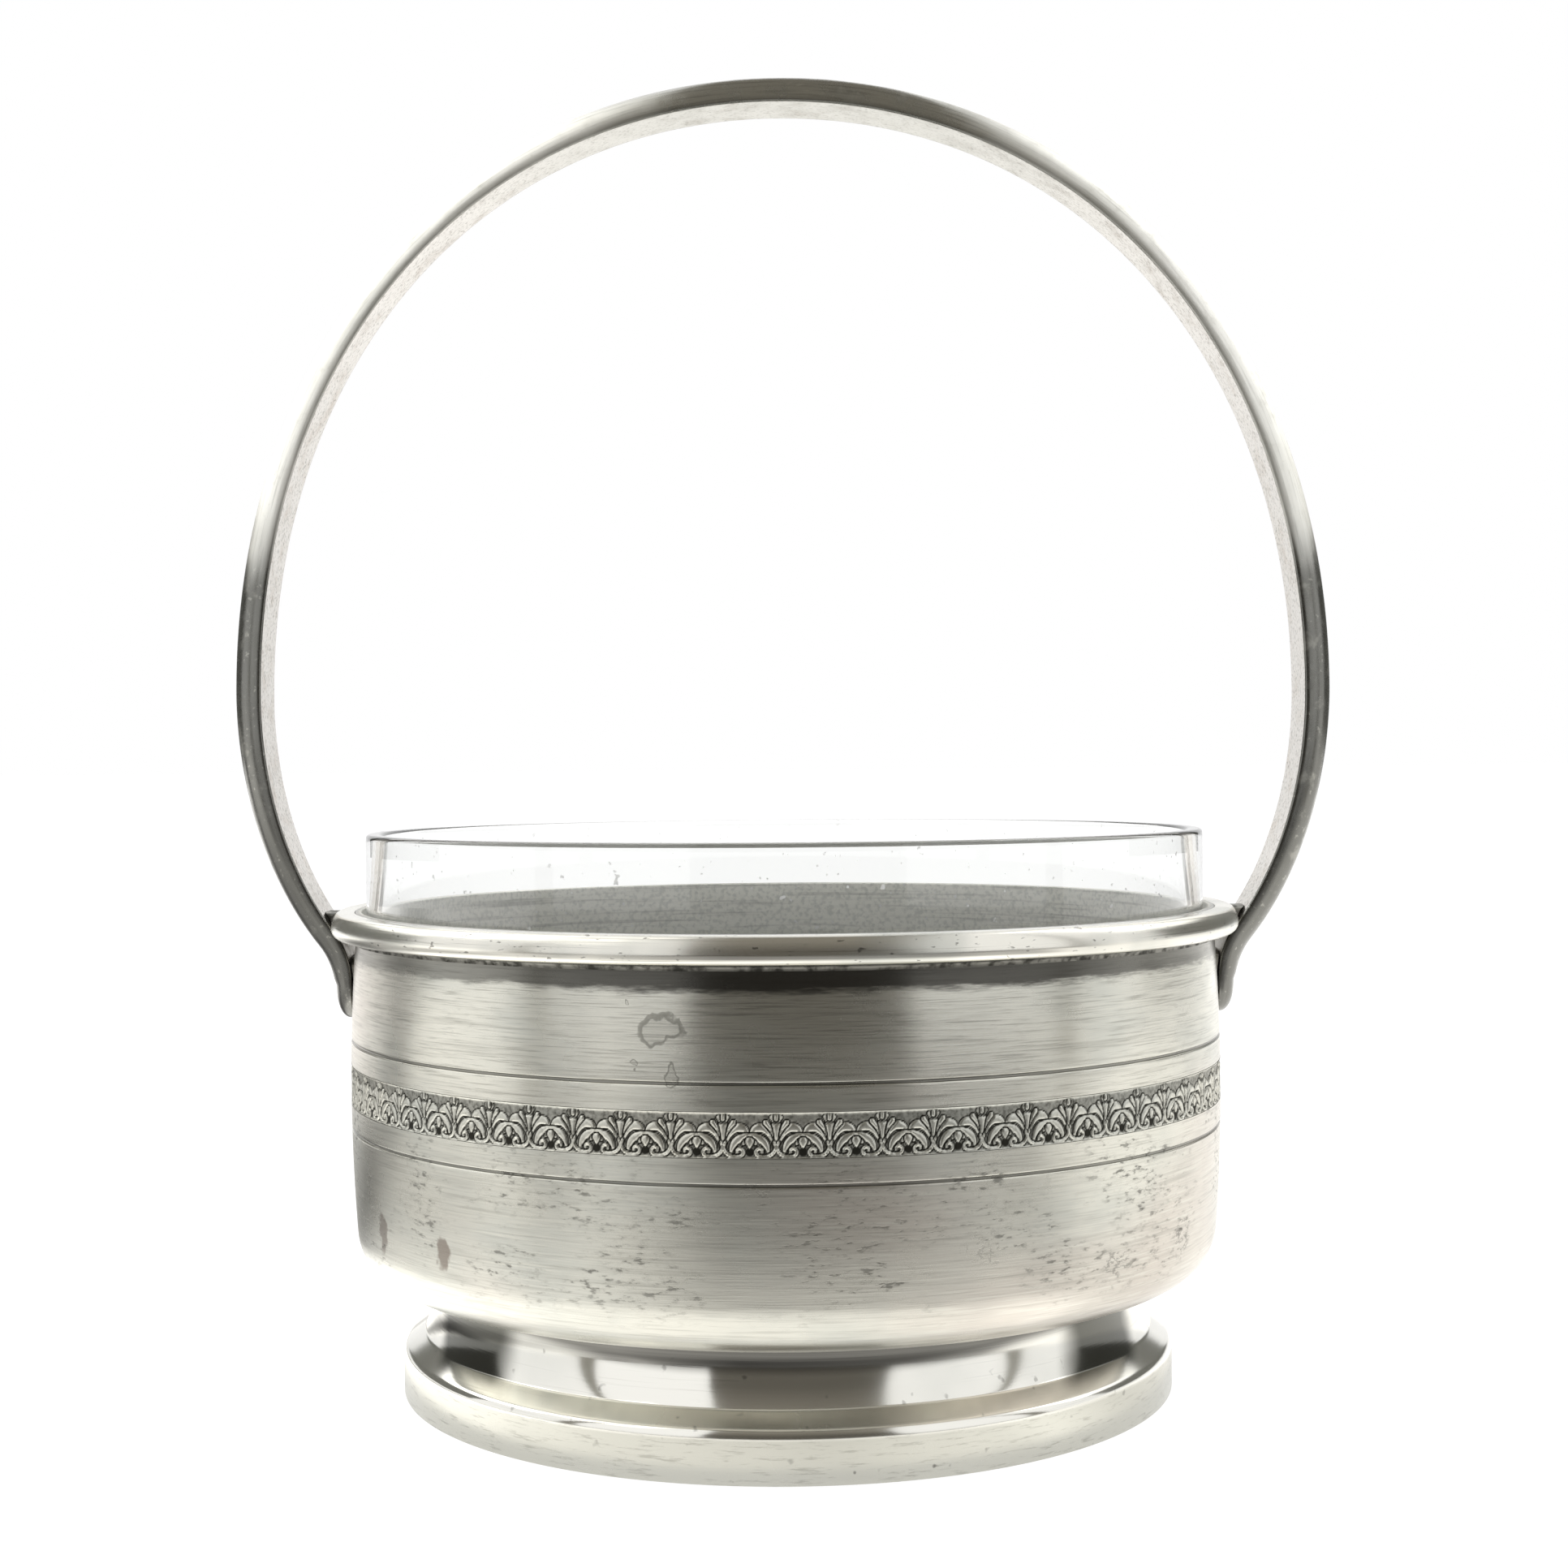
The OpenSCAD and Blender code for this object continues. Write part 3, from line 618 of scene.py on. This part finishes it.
class Finish(Nodes):
    """A new material with one shader, and where a point lies on the piece."""

    def __init__(self, name):
        self.material = bpy.data.materials.new(name)
        super().__init__(self.material)
        self.shader = self.tree.nodes.new("ShaderNodeBsdfPrincipled")
        self.end(self.shader.outputs[0])
        self.place = self.put("TexCoord", out="Object")

    def axis(self, name):
        """One coordinate of the place, in metres."""
        return self.put("SeparateXYZ", {0: self.place}, out=name)

    def kept(self, name):
        """The number that a piece keeps for each of its points."""
        return self.put("Attribute", out="Fac", attribute_name=name)

    def grain(self, scale, detail=2.0, rough=0.5, place=None):
        """Noise whose features are 1/scale metres, along all axes or along each."""
        scale = scale if isinstance(scale, tuple) else (scale, scale, scale)
        stretched = self.put("Mapping", {"Vector": place or self.place, "Scale": scale})
        return self.put("TexNoise", {"Vector": stretched, "Scale": 1.0, "Detail": detail, "Roughness": rough})

    def shade(self, **inputs):
        """Feeds the shader's inputs, whose names have a space for each underscore."""
        for name, value in inputs.items():
            self.feed(self.shader.inputs[name.replace("_", " ")], value)

    def metal(self, colour, roughness, lie, depth, metallic=1.0):
        """Makes the shader a metal with a fine relief of the given depth in metres."""
        bump = self.put("Bump", {"Height": lie, "Distance": depth, "Strength": 1.0})
        self.shade(Metallic=metallic, Base_Color=colour, Roughness=roughness, Normal=bump)
        return self.material

    def brush_along_outline(self, amount):
        """Makes the gloss spread up and down the outline, as brushing round the piece does."""
        tangent = self.put("Tangent", direction_type="UV_MAP", uv_map="lay")
        self.shade(Tangent=tangent, Anisotropic=amount)


SILVER = (0.70, 0.69, 0.62, 1)
MOULDING_SILVER = (0.84, 0.82, 0.75, 1)
POLISHED_SILVER = (0.91, 0.895, 0.835, 1)
BAND_SILVER = (0.53, 0.525, 0.47, 1)
MATT_SILVER = (0.96, 0.95, 0.88, 1)
# Bright rubbed silver, paler still as a painted highlight on the bow's dome
WORN_HIGHLIGHT_SILVER = (0.97, 0.96, 0.91, 1)
RUBBED_SILVER = (0.87, 0.865, 0.81, 1)
FACE_SILVER = (0.76, 0.735, 0.70, 1)
PALE_TARNISH = (0.60, 0.59, 0.53, 1)
WARM_TARNISH = (0.62, 0.55, 0.49, 1)
COOL_TARNISH = (0.56, 0.57, 0.525, 1)
CROWN_TARNISH = (0.50, 0.495, 0.45, 1)
BLOT_TARNISH = (0.40, 0.397, 0.36, 1)
# Grey tarnish, also used as painted shade along the edges of the bow's dome
GREY_TARNISH_AND_SHADE = (0.28, 0.275, 0.24, 1)
BROWN_TARNISH = (0.24, 0.20, 0.17, 1)
STREAK_TARNISH = (0.17, 0.168, 0.148, 1)
# Painted dark reflection low on both sides of the bow
PAINTED_LOW_REFLECTION = (0.15, 0.149, 0.137, 1)
# Painted dark reflection on the foot towards both ends
PAINTED_END_REFLECTION = (0.1, 0.1, 0.086, 1)
# Dark tarnish, also used as painted shade under the moulding, under the bowl and along the bow's edges
DARK_TARNISH_AND_SHADE = (0.07, 0.067, 0.06, 1)
OXIDE = (0.035, 0.034, 0.028, 1)
SOLDER, DARK_SOLDER = (0.24, 0.235, 0.21, 1), (0.06, 0.058, 0.05, 1)
CLEAR, DRIED_WATER = (0.985, 0.99, 0.985, 1), (0.80, 0.80, 0.78, 1)

# Marks on the wall: angle from the front in degrees, height and half width in millimetres, and how tall
# the mark is for its width
DRIED_DROPS = [(-14.0, 47.4, 2.4, 0.62), (-12.4, 42.6, 0.75, 1.4), (-17.2, 43.6, 0.3, 1.8),
               (-17.9, 50.0, 0.5, 0.7)]
BROWN_SPOTS = [(-45.0, 22.2, 1.3, 1.5), (-60.3, 22.4, 1.3, 1.9)]
ETCHED_SPOTS = [(42.3, 20.9, 2.2, 0.8), (57.5, 21.8, 2.3, 1.1), (-3.0, 31.2, 2.0, 0.5),
                (23.0, 25.0, 2.6, 0.8)]

# How far noise moves the outlines of the marks at most, in metres
WANDER = 0.0030


def far_from(n, place, spot):
    """Distance from the middle of a mark on the wall, as a share of its size. The place has been moved by
    noise, by half of WANDER on average, so the middle is moved as far."""
    degrees, z, half, tall = spot
    a, r = math.radians(degrees), float(wall_radius(z))
    middle = np.array((r * math.sin(a), -r * math.cos(a), z)) * MM
    shrink = np.array((1, 1, 1 / tall)) / (half * MM)
    offset = -(middle + WANDER / 2) * shrink
    scaled = n.put("VectorMath", {0: place, 1: tuple(shrink), 2: tuple(offset)}, operation="MULTIPLY_ADD")
    return n.put("VectorMath", {0: scaled}, out="Value", operation="LENGTH")


def wall_marks(n):
    """Shares of the dried drops, which have a darker edge, of the brown spots and of the etched places."""
    noise = n.put("TexNoise", {"Vector": n.place, "Scale": 520.0, "Detail": 3.0}, out=1)
    moved = n.put("VectorMath", {0: noise, "Scale": WANDER}, operation="SCALE")
    wavy = n.put("VectorMath", {0: n.place, 1: moved}, operation="ADD")
    drops, brown, etched = ([far_from(n, wavy, spot) for spot in spots]
                            for spots in (DRIED_DROPS, BROWN_SPOTS, ETCHED_SPOTS))
    drops = n.most(*[n.plus(n.rise(n.apart(far, 0.92), 0.06, 0.2, 0.75, 0), n.rise(far, 0.8, 1.0, 0.2, 0))
                     for far in drops])
    brown = n.most(*[n.rise(far, 0.7, 1.1, 0.8, 0) for far in brown])
    return drops, brown, n.most(*[n.rise(far, 0.6, 1.2, 1, 0) for far in etched])


def wall_pits(n, etched):
    """Shares of the pits, which are outlines in the etched places and short dashes low on the wall, and
    of the grey round the dashes."""
    z = n.axis("Z")
    low_wall = n.times(n.rise(z, 0.016, 0.022), n.rise(z, 0.032, 0.038, 1, 0.1))
    patches = n.times(n.rise(n.grain((95, 95, 130), 3.0, 0.6), 0.42, 0.62), low_wall)
    ripple = n.apart(n.grain((520, 520, 900), 4.0, 0.6), 0.54)
    outlines = n.times(etched, n.rise(ripple, 0.010, 0.04, 0.6, 0))
    dashes = n.grain((620, 620, 1900), 4.0, 0.62)
    pits = n.most(outlines, n.times(patches, n.rise(dashes, 0.55, 0.67)))
    return pits, n.times(patches, n.rise(dashes, 0.46, 0.64, 0, 0.3))


def wall_bands(n):
    """Share of the band under the moulding, grime with painted shadow and dark reflection, which is tallest
    in front and ragged below, and of the dark cut lines."""
    z, across = n.axis("Z"), n.apart(n.axis("X"), 0.005)
    ragged = n.times(n.grain((190, 190, 1500), 4.0, 0.7), 0.0022)
    edge = n.minus(n.plus(z, ragged), n.times(n.rise(across, 0.012, 0.040), 0.0003))
    # Painted shadow and dark reflection under the moulding, over some grime, tallest in front
    band = n.times(n.rise(edge, 0.0518, 0.0528, 0, 0.93), n.rise(across, 0.020, 0.050, 1, 0.6))
    return n.most(band, *[n.rise(n.apart(z, line * MM), 0.00008, 0.00022, 0.65, 0)
                          for line in (LOW_LINE, HIGH_LINE)])


def wall_finish():
    """Silver plate brushed round the bowl: fine lines round it, clouds of tarnish, the marks and pits, a band
    of grime and painted shade under the moulding, dark cut lines, painted shade on the underside and a matt
    inside."""
    n = Finish("brushed_plate")
    inside, z = n.kept("inside"), n.axis("Z")
    lines = n.grain((150, 150, 5200), 3.0, 0.6)
    streaks = n.grain((42, 42, 1700), 3.0, 0.6)
    clouds = n.grain((34, 34, 46), 4.0, 0.6)
    warm = n.grain((19, 19, 27))
    sparkle = n.grain(1700)
    drops, brown, etched = wall_marks(n)
    pits, halo = wall_pits(n, etched)
    scored = n.times(n.rise(lines, 0.50, 0.70), n.rise(z, 0.028, 0.040, 0.22, 0.52))
    # Painted shade under the bowl: the underside and low corner darken, most in front
    below = n.times(n.rise(z, 0.0148, 0.0140), n.rise(n.apart(n.axis("X"), 0), 0.010, 0.024, 0.55, 0.05))
    matt = n.layers(
        MATT_SILVER,
        (n.rise(sparkle, 0.45, 0.65, 0, 0.5), COOL_TARNISH),
        (n.rise(streaks, 0.50, 0.74, 0, 0.5), GREY_TARNISH_AND_SHADE))
    colour = n.layers(
        SILVER,
        (n.rise(clouds, 0.40, 0.68), COOL_TARNISH),
        (n.rise(warm, 0.48, 0.68, 0, 0.65), WARM_TARNISH),
        (n.rise(streaks, 0.50, 0.74, 0, 0.36), GREY_TARNISH_AND_SHADE),
        (scored, GREY_TARNISH_AND_SHADE),
        (n.rise(lines, 0.48, 0.34, 0, 0.6), SILVER),
        (drops, GREY_TARNISH_AND_SHADE),
        (brown, BROWN_TARNISH),
        (halo, GREY_TARNISH_AND_SHADE),
        (n.times(pits, 0.6), DARK_TARNISH_AND_SHADE),
        (wall_bands(n), DARK_TARNISH_AND_SHADE),
        (below, DARK_TARNISH_AND_SHADE),
        (inside, matt))
    rough = n.plus(n.rise(clouds, 0.35, 0.7, 0.24, 0.33), n.times(pits, 0.25))
    rough = n.plus(rough, n.times(inside, 0.4))
    n.brush_along_outline(0.55)
    return n.metal(colour, rough, n.minus(lines, pits), 0.000010, n.rise(inside, 0, 1, 1, 0.25))


def moulding_finish():
    """Silver plate polished round the moulding: clouds of tarnish, thin grey streaks round it and small
    dark specks."""
    n = Finish("moulding_plate")
    lines = n.grain((35, 35, 3600), 3.0, 0.6)
    clouds = n.grain(60, 3.0)
    specks = n.grain((900, 900, 2400))
    colour = n.layers(
        MOULDING_SILVER,
        (n.rise(clouds, 0.45, 0.7, 0, 0.7), COOL_TARNISH),
        (n.rise(lines, 0.56, 0.74, 0, 0.55), GREY_TARNISH_AND_SHADE),
        (n.rise(specks, 0.66, 0.74, 0, 0.6), DARK_TARNISH_AND_SHADE))
    return n.metal(colour, n.rise(clouds, 0.35, 0.7, 0.17, 0.27), lines, 0.000008)


def foot_finish():
    """Silver plate turned and polished: crisp gloss on the cove, painted shade under the bowl, painted dark
    reflections towards both ends, fine scratches and small dark spots on the band."""
    n = Finish("turned_plate")
    z, out = n.axis("Z"), n.apart(n.axis("X"), 0)
    on_band = n.rise(z, 0.0051, 0.0045)
    lines = n.grain((45, 45, 4200), 3.0, 0.6)
    scratches = n.grain((260, 260, 2600), 4.0, 0.7)
    clouds = n.grain((48, 48, 60), 3.0)
    spots = n.rise(n.grain(560), 0.68, 0.76)
    low = n.rise(z, 0.0024, 0.0006)
    # Painted shade on the foot under the bowl, narrower towards the sides
    under = n.rise(n.minus(z, n.rise(out, 0.010, 0.034, 0, 0.0013)), 0.0101, 0.0116, 0, 0.85)
    uneven = n.plus(out, n.times(n.minus(clouds, 0.5), 0.006))
    # Painted dark reflection of the surroundings on the foot towards both ends, above the band
    ends = n.times(n.rise(uneven, 0.0295, 0.0325), n.rise(uneven, 0.0385, 0.0405, 1, 0))
    colour = n.layers(
        POLISHED_SILVER,
        (n.rise(clouds, 0.44, 0.7, 0, 0.35), COOL_TARNISH),
        (n.rise(lines, 0.60, 0.80, 0, 0.3), GREY_TARNISH_AND_SHADE),
        (n.times(on_band, 0.95), BAND_SILVER),
        (n.times(n.rise(scratches, 0.52, 0.68, 0, 0.5), on_band), GREY_TARNISH_AND_SHADE),
        (n.times(spots, n.rise(low, 0, 1, 0.4, 0.9)), DARK_TARNISH_AND_SHADE),
        (under, DARK_TARNISH_AND_SHADE),
        (n.times(ends, n.rise(z, 0.0056, 0.0072, 0, 0.95)), PAINTED_END_REFLECTION))
    rough = n.plus(n.rise(clouds, 0.35, 0.7, 0.09, 0.16), n.times(on_band, 0.16))
    return n.metal(colour, rough, n.plus(lines, n.times(scratches, on_band)), 0.000004)


def bow_finish():
    """Silver plate on the bow: on the dome gunmetal tarnish at the crown, painted dark reflection low on both
    sides, rubbed bright with a painted highlight between, streaks along the bar, painted shade at the edges;
    a paler, finely speckled flat face."""
    n = Finish("bow_plate")
    flat, flank = n.kept("flat_face"), n.kept("flank")
    domed = n.minus(1.0, flat)
    streaks = n.grain((110, 2400, 1), 4.0, 0.65, n.put("UVMap", uv_map="lay"))
    blots = n.grain(300, 4.0, 0.65)
    clouds = n.grain(38, 3.0)
    sparkle = n.grain(2600)
    specks = n.grain(1300, 3.0, 0.6)
    loose = n.times(clouds, 0.02)
    from_crown = n.plus(n.apart(n.axis("X"), 0.004), loose)
    # Painted dark reflection of the surroundings low on both sides of the bow
    painted_reflection_low = n.rise(n.plus(n.axis("Z"), loose), 0.106, 0.116, 0.92, 0)
    off_crown = n.rise(from_crown, 0.024, 0.042)
    is_worn = n.minus(off_crown, painted_reflection_low)
    scored = n.times(n.rise(streaks, 0.46, 0.72), n.rise(is_worn, 0, 1, 0.5, 0.28))
    # Silver rubbed bright between the crown and the low sides, paler still as a painted highlight
    worn_and_highlight = n.layers(
        WORN_HIGHLIGHT_SILVER,
        (n.rise(clouds, 0.36, 0.66), RUBBED_SILVER),
        # Painted shade along the dome's edges
        (n.rise(flank, 0.97, 0.999, 0, 0.35), GREY_TARNISH_AND_SHADE))
    dome = n.layers(
        CROWN_TARNISH,
        (n.rise(blots, 0.42, 0.66), BLOT_TARNISH),
        (off_crown, worn_and_highlight),
        (painted_reflection_low, PAINTED_LOW_REFLECTION),
        (scored, STREAK_TARNISH),
        (n.rise(blots, 0.56, 0.72, 0, 0.35), PALE_TARNISH),
        (n.rise(specks, 0.60, 0.72, 0, 0.3), SILVER))
    face = n.layers(
        FACE_SILVER,
        (n.rise(blots, 0.5, 0.75, 0, 0.5), WARM_TARNISH),
        (n.rise(sparkle, 0.48, 0.68, 0, 0.45), GREY_TARNISH_AND_SHADE),
        (n.rise(specks, 0.56, 0.72, 0, 0.4), BROWN_TARNISH),
        (n.rise(from_crown, 0.026, 0.060, 0.5, 0), COOL_TARNISH))
    # The face on the flat side, and painted shade where the dome meets it
    colour = n.layers(dome, (flat, face), (n.rise(n.times(flat, domed), 0.02, 0.2, 0, 0.7), DARK_TARNISH_AND_SHADE))
    rough = n.plus(n.rise(blots, 0.4, 0.7, 0.22, 0.34), n.times(flat, 0.14))
    rough = n.plus(rough, n.times(n.rise(is_worn, 0, 1, 0, 0.22), domed))
    return n.metal(colour, rough, n.plus(streaks, n.times(sparkle, flat)), 0.000008)


def frieze_finish():
    """Rolled silver with black oxide in the low places and bare, scuffed tops."""
    n = Finish("oxidised_relief")
    oxide = n.kept("oxide")
    mottle = n.grain(2400, 3.0)
    clouds = n.grain(50, 3.0)
    uneven = n.plus(oxide, n.times(n.minus(mottle, 0.5), 0.5))
    colour = n.layers(
        SILVER,
        (n.rise(clouds, 0.40, 0.68, 0, 0.7), COOL_TARNISH),
        (n.rise(mottle, 0.48, 0.72, 0, 0.4), GREY_TARNISH_AND_SHADE),
        (n.rise(uneven, 0.1, 0.9), OXIDE))
    return n.metal(colour, n.rise(oxide, 0.1, 0.8, 0.34, 0.6), mottle, 0.000015)


def solder_finish():
    """Dull, dark, slightly lumpy solder."""
    n = Finish("dull_solder")
    lumps = n.grain(700, 4.0, 0.6)
    colour = n.layers(SOLDER, (n.rise(lumps, 0.4, 0.65), DARK_SOLDER))
    return n.metal(colour, n.rise(lumps, 0.35, 0.65, 0.4, 0.6), lumps, 0.00006)


def glass_finish():
    """Clear glass with a few dull specks of dried water."""
    n = Finish("clear_glass")
    specks = n.rise(n.grain(900), 0.70, 0.76)
    n.shade(Base_Color=n.layers(CLEAR, (specks, DRIED_WATER)), Roughness=n.rise(specks, 0, 1, 0.0, 0.35),
            Transmission_Weight=1.0, IOR=1.5)
    return n.material


def fit(piece, finish, body, node):
    """Gives a piece its finish and sets it in the frame, in place of its node."""
    piece.data.materials.append(finish)
    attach(piece, body)
    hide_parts(node)


# The basket
solder = solder_finish()
rim_seam = "moulding_seam", BOWL_R + FILM, BEAD_Z - FILM, RIM_FILLET
foot_seam = "foot_seam", NECK_R + FILM, FOOT_H - FILM, FOOT_FILLET
fit(make_bowl(), wall_finish(), "basket", "bowl_shell")
fit(make_moulding(), moulding_finish(), "basket", "rim_moulding")
fit(make_seam(*rim_seam), solder, "basket", "rim_solder")
fit(make_frieze(), frieze_finish(), "basket", "frieze_strip")
fit(make_foot(), foot_finish(), "basket", "foot_ring")
fit(make_seam(*foot_seam), solder, "basket", "foot_solder")
fit(make_bow(), bow_finish(), "basket", "handle_bow")
fit(make_wedge("left_wedge", -1), solder, "basket", "handle_solder_left")
fit(make_wedge("right_wedge", 1), solder, "basket", "handle_solder_right")
fit(make_dab("left_dab", -1), solder, "basket", "bead_solder_left")
fit(make_dab("right_dab", 1), solder, "basket", "bead_solder_right")
fit(make_liner(), glass_finish(), "liner", "glass_liner")

# Studio: lengths in metres, angles in degrees and azimuths from the front
WHITE, FLOOR_GREY = (1, 1, 1, 1), (0.3, 0.3, 0.3, 1)
WORLD_LIGHT, FLOOR_GLOW, FLOOR_HALF = 0.6, 0.88, 30
CARD_LIFT, STRIP_REACH, CARD_REACH, BOX_REACH = 0.0006, 0.40, 0.45, 0.42
TABLE_TINT, FRONT_TINT = (1.0, 0.985, 0.955), (1.0, 0.93, 0.8)
STRIP_GLOW, CARD_GLOW = (0.2, 0.19, 0.16), (0.17, 0.17, 0.155)

# Light of the table round the basket: azimuth, then how bright it is far away, near and close by
TABLE_LIGHT = [(-180, 1.5, 1.1, 1.5), (-140, 1.8, 0.5, 1.7), (-124, 1.6, 0.1, 1.7), (-117, 0.25, 0.2, 1.8),
               (-109, 0.25, 0.45, 1.9), (-102, 1.6, 0.65, 2.0), (-72, 1.6, 0.75, 2.1), (-64, 0.22, 1.0, 2.1),
               (-50, 0.15, 0.65, 1.9), (-42, 0.65, 0.9, 1.7), (-33, 0.1, 0.7, 1.5), (-13, 0.2, 0.25, 1.35),
               (8, 0.2, 0.31, 1.3), (35, 0.03, 0.45, 1.5), (44, 0.05, 0.58, 1.75), (55, 0.34, 0.5, 1.5),
               (64, 0.4, 1.15, 1.25), (74, 0.5, 1.3, 1.25), (86, 1.2, 1.3, 1.35), (124, 1.1, 1.35, 1.5),
               (145, 1.7, 1.2, 1.5), (180, 1.5, 1.1, 1.5)]
TABLE_REACH = [0.05, 0.075, 0.095, 0.115, 0.145, 0.20, 0.30, 0.45, 0.70, 1.00]

# Soft boxes: azimuths and elevations, each as first, last and count, and the glow
SOFT_BOXES = [("left_soft_box", (-135, -45, 12), (37, 76, 8), (1.5, 1.485, 1.44)),
              ("rear_soft_box", (-172, -98, 10), (27, 36, 4), (2.0, 1.98, 1.92)),
              ("right_soft_box", (100, 170, 10), (27, 55, 8), (1.4, 1.39, 1.35))]

# Lamps: place and watts
LAMPS = [("left_box", (-0.50, 0.15, 0.62), 1.6), ("right_box", (0.55, 0.25, 0.60), 1.0)]
LAMP_AIM, LAMP_SIZE = Vector((0, 0, 0.06)), 0.5

# The photograph's camera: place, tilt below level and roll, lens and sensor in millimetres, nearest view
CAMERA_PLACE, CAMERA_TILT, CAMERA_ROLL = (0.00004, -0.2856, 0.0740), 0.484, -0.45
CAMERA_LENS, CAMERA_SENSOR, CAMERA_NEAR = 53.83, 36.0, 0.01


def seen_by_eye(n):
    """1 for rays of the camera and for those that gloss and glass send on, 0 for the rest."""
    return n.most(*[n.put("LightPath", out="Is " + kind + " Ray")
                    for kind in ("Camera", "Glossy", "Transmission")])


def make_world():
    """A plain white surround, dimmer as a light than as a background."""
    world = bpy.data.worlds.new("white_surround")
    n = Nodes(world)
    strength = n.rise(seen_by_eye(n), 0, 1, WORLD_LIGHT, 1.0)
    n.end(n.put("Background", {"Color": WHITE, "Strength": strength}), "World")
    world.cycles.sampling_method = "NONE"
    bpy.context.scene.world = world


def stage_sheet(name, points, shader_of):
    """A studio sheet from a grid of points in metres, with its own shader."""
    rows, columns = points.shape[:2]
    corner = (np.arange(rows - 1)[:, None] * columns + np.arange(columns - 1)).ravel()
    faces = np.stack((corner, corner + 1, corner + columns + 1, corner + columns), -1)
    mesh = bpy.data.meshes.new(name)
    mesh.from_pydata(points.reshape(-1, 3), [], faces)
    sheet = scene_object(name, mesh)
    finish = bpy.data.materials.new(name)
    n = Nodes(finish)
    n.end(shader_of(n))
    mesh.materials.append(finish)
    return sheet


def floor_shader(n):
    """White floor that keeps a faint shadow: part of it glows for the eye, and part is lit."""
    lit = n.put("BsdfDiffuse", {"Color": FLOOR_GREY})
    strength = n.rise(seen_by_eye(n), 0, 1, 0.0, FLOOR_GLOW)
    return n.put("AddShader", {0: lit, 1: n.put("Emission", {"Color": WHITE, "Strength": strength})})


def make_floor():
    """A flat floor, wide enough to reach the horizon."""
    side = np.linspace(-FLOOR_HALF, FLOOR_HALF, 3)
    x, y = np.meshgrid(side, side)
    stage_sheet("table_top", np.stack((x, y, 0 * x), -1), floor_shader)


def studio_card(name, points, glow):
    """A card or soft box out of the camera's view, which only gloss shows. Each of its points has its own
    glow, so that one card can pass from light to dark."""
    def lit_by_points(n):
        return n.put("Emission", {"Color": n.put("Attribute", out="Color", attribute_name="glow")})

    card = stage_sheet(name, points, lit_by_points)
    count = len(card.data.vertices)
    shade = np.broadcast_to(np.asarray(glow, float), points.shape).reshape(count, 3)
    shade = np.column_stack((shade, np.ones(count))).astype(np.float32)
    card.data.attributes.new("glow", "FLOAT_COLOR", "POINT").data.foreach_set("color", shade.ravel())
    card.data.materials[0].cycles.emission_sampling = "NONE"
    for ray in ("camera", "diffuse", "shadow", "transmission"):
        setattr(card, "visible_" + ray, False)


def around(azimuth, elevation, distance):
    """Points at an azimuth and an elevation, at a distance from the middle of the foot."""
    a, e = np.broadcast_arrays(np.radians(azimuth), np.radians(elevation))
    return distance * np.stack((np.sin(a) * np.cos(e), -np.cos(a) * np.cos(e), np.sin(e)), -1)


def make_table_cards():
    """Cards laid flat on the table round the basket, from white to dark grey. The wall mirrors them, its
    corner the close ones, its lower part the near ones and its upper part the far ones."""
    turn = np.linspace(-180, 180, 181)
    reach = np.array(TABLE_REACH)[:, None]
    at, *light = np.array(TABLE_LIGHT).T
    far, near, close = (np.interp(turn, at, row) for row in light)
    light = near + (far - near) * np.interp(reach, [0.20, 0.50], [0, 1])
    light = close + (light - close) * np.interp(reach, [0.075, 0.115], [0, 1])
    points = around(turn, 0, 1) * reach[..., None] + [0, 0, CARD_LIFT]
    studio_card("table_cards", points, light[..., None] * TABLE_TINT)


def make_cards():
    """What the metal mirrors above the table: a dark strip that stands in front and bends overhead, a thin
    dark strip and a low grey card at each side, and soft boxes above at both sides and behind."""
    turn = np.linspace(0, 122, 40)[:, None]
    left = np.interp(turn, [0, 22, 48, 90, 122], [-0.17, -0.158, -0.125, -0.075, -0.03])
    right = np.interp(turn, [0, 40, 90, 122], [0.235, 0.18, 0.12, 0.05])
    x = left + (right - left) * np.linspace(0, 1, 5)
    y, z = (STRIP_REACH * way(np.radians(turn)) + 0 * x for way in (np.cos, np.sin))
    shade = np.interp(turn, [20, 55], [0.11, 0.24])[..., None] * FRONT_TINT
    studio_card("front_strip", np.stack((x, -y, z), -1), shade)
    up = np.linspace(0, 60, 16)[:, None]
    spread = np.linspace(-3, 3, 3) * (1 - up / 62)
    wide, high = np.linspace(98, 147, 14), np.linspace(6, 26, 6)[:, None]
    for name, side, aside in (("left", -1, 61), ("right", 1, 70)):
        studio_card(name + "_strip", around(side * (aside + spread), up, STRIP_REACH), STRIP_GLOW)
        studio_card(name + "_card", around(side * wide, high, CARD_REACH), CARD_GLOW)
    for name, wide, high, glow in SOFT_BOXES:
        studio_card(name, around(np.linspace(*wide), np.linspace(*high)[:, None], BOX_REACH), glow)


def soft_lamp(name, place, watts):
    """A square soft box that points at the basket."""
    data = bpy.data.lights.new(name, "AREA")
    data.size = LAMP_SIZE
    data.energy = watts
    aim = (Vector(place) - LAMP_AIM).to_track_quat("Z", "Y").to_matrix().to_4x4()
    scene_object(name, data).matrix_world = Matrix.Translation(place) @ aim


def make_camera():
    """The photograph's camera: just above the glass, a little below level and turned by half a degree."""
    data = bpy.data.cameras.new("photo_camera")
    data.sensor_width = CAMERA_SENSOR
    data.lens = CAMERA_LENS
    data.clip_start = CAMERA_NEAR
    camera = scene_object("photo_camera", data)
    aim = Euler((math.radians(90 - CAMERA_TILT), 0, 0)).to_matrix().to_4x4()
    roll = Matrix.Rotation(math.radians(CAMERA_ROLL), 4, "Z")
    camera.matrix_world = Matrix.Translation(CAMERA_PLACE) @ aim @ roll
    bpy.context.scene.camera = camera


make_world()
make_floor()
make_table_cards()
make_cards()
for lamp in LAMPS:
    soft_lamp(*lamp)
make_camera()
bpy.context.scene.view_settings.view_transform = "Standard"
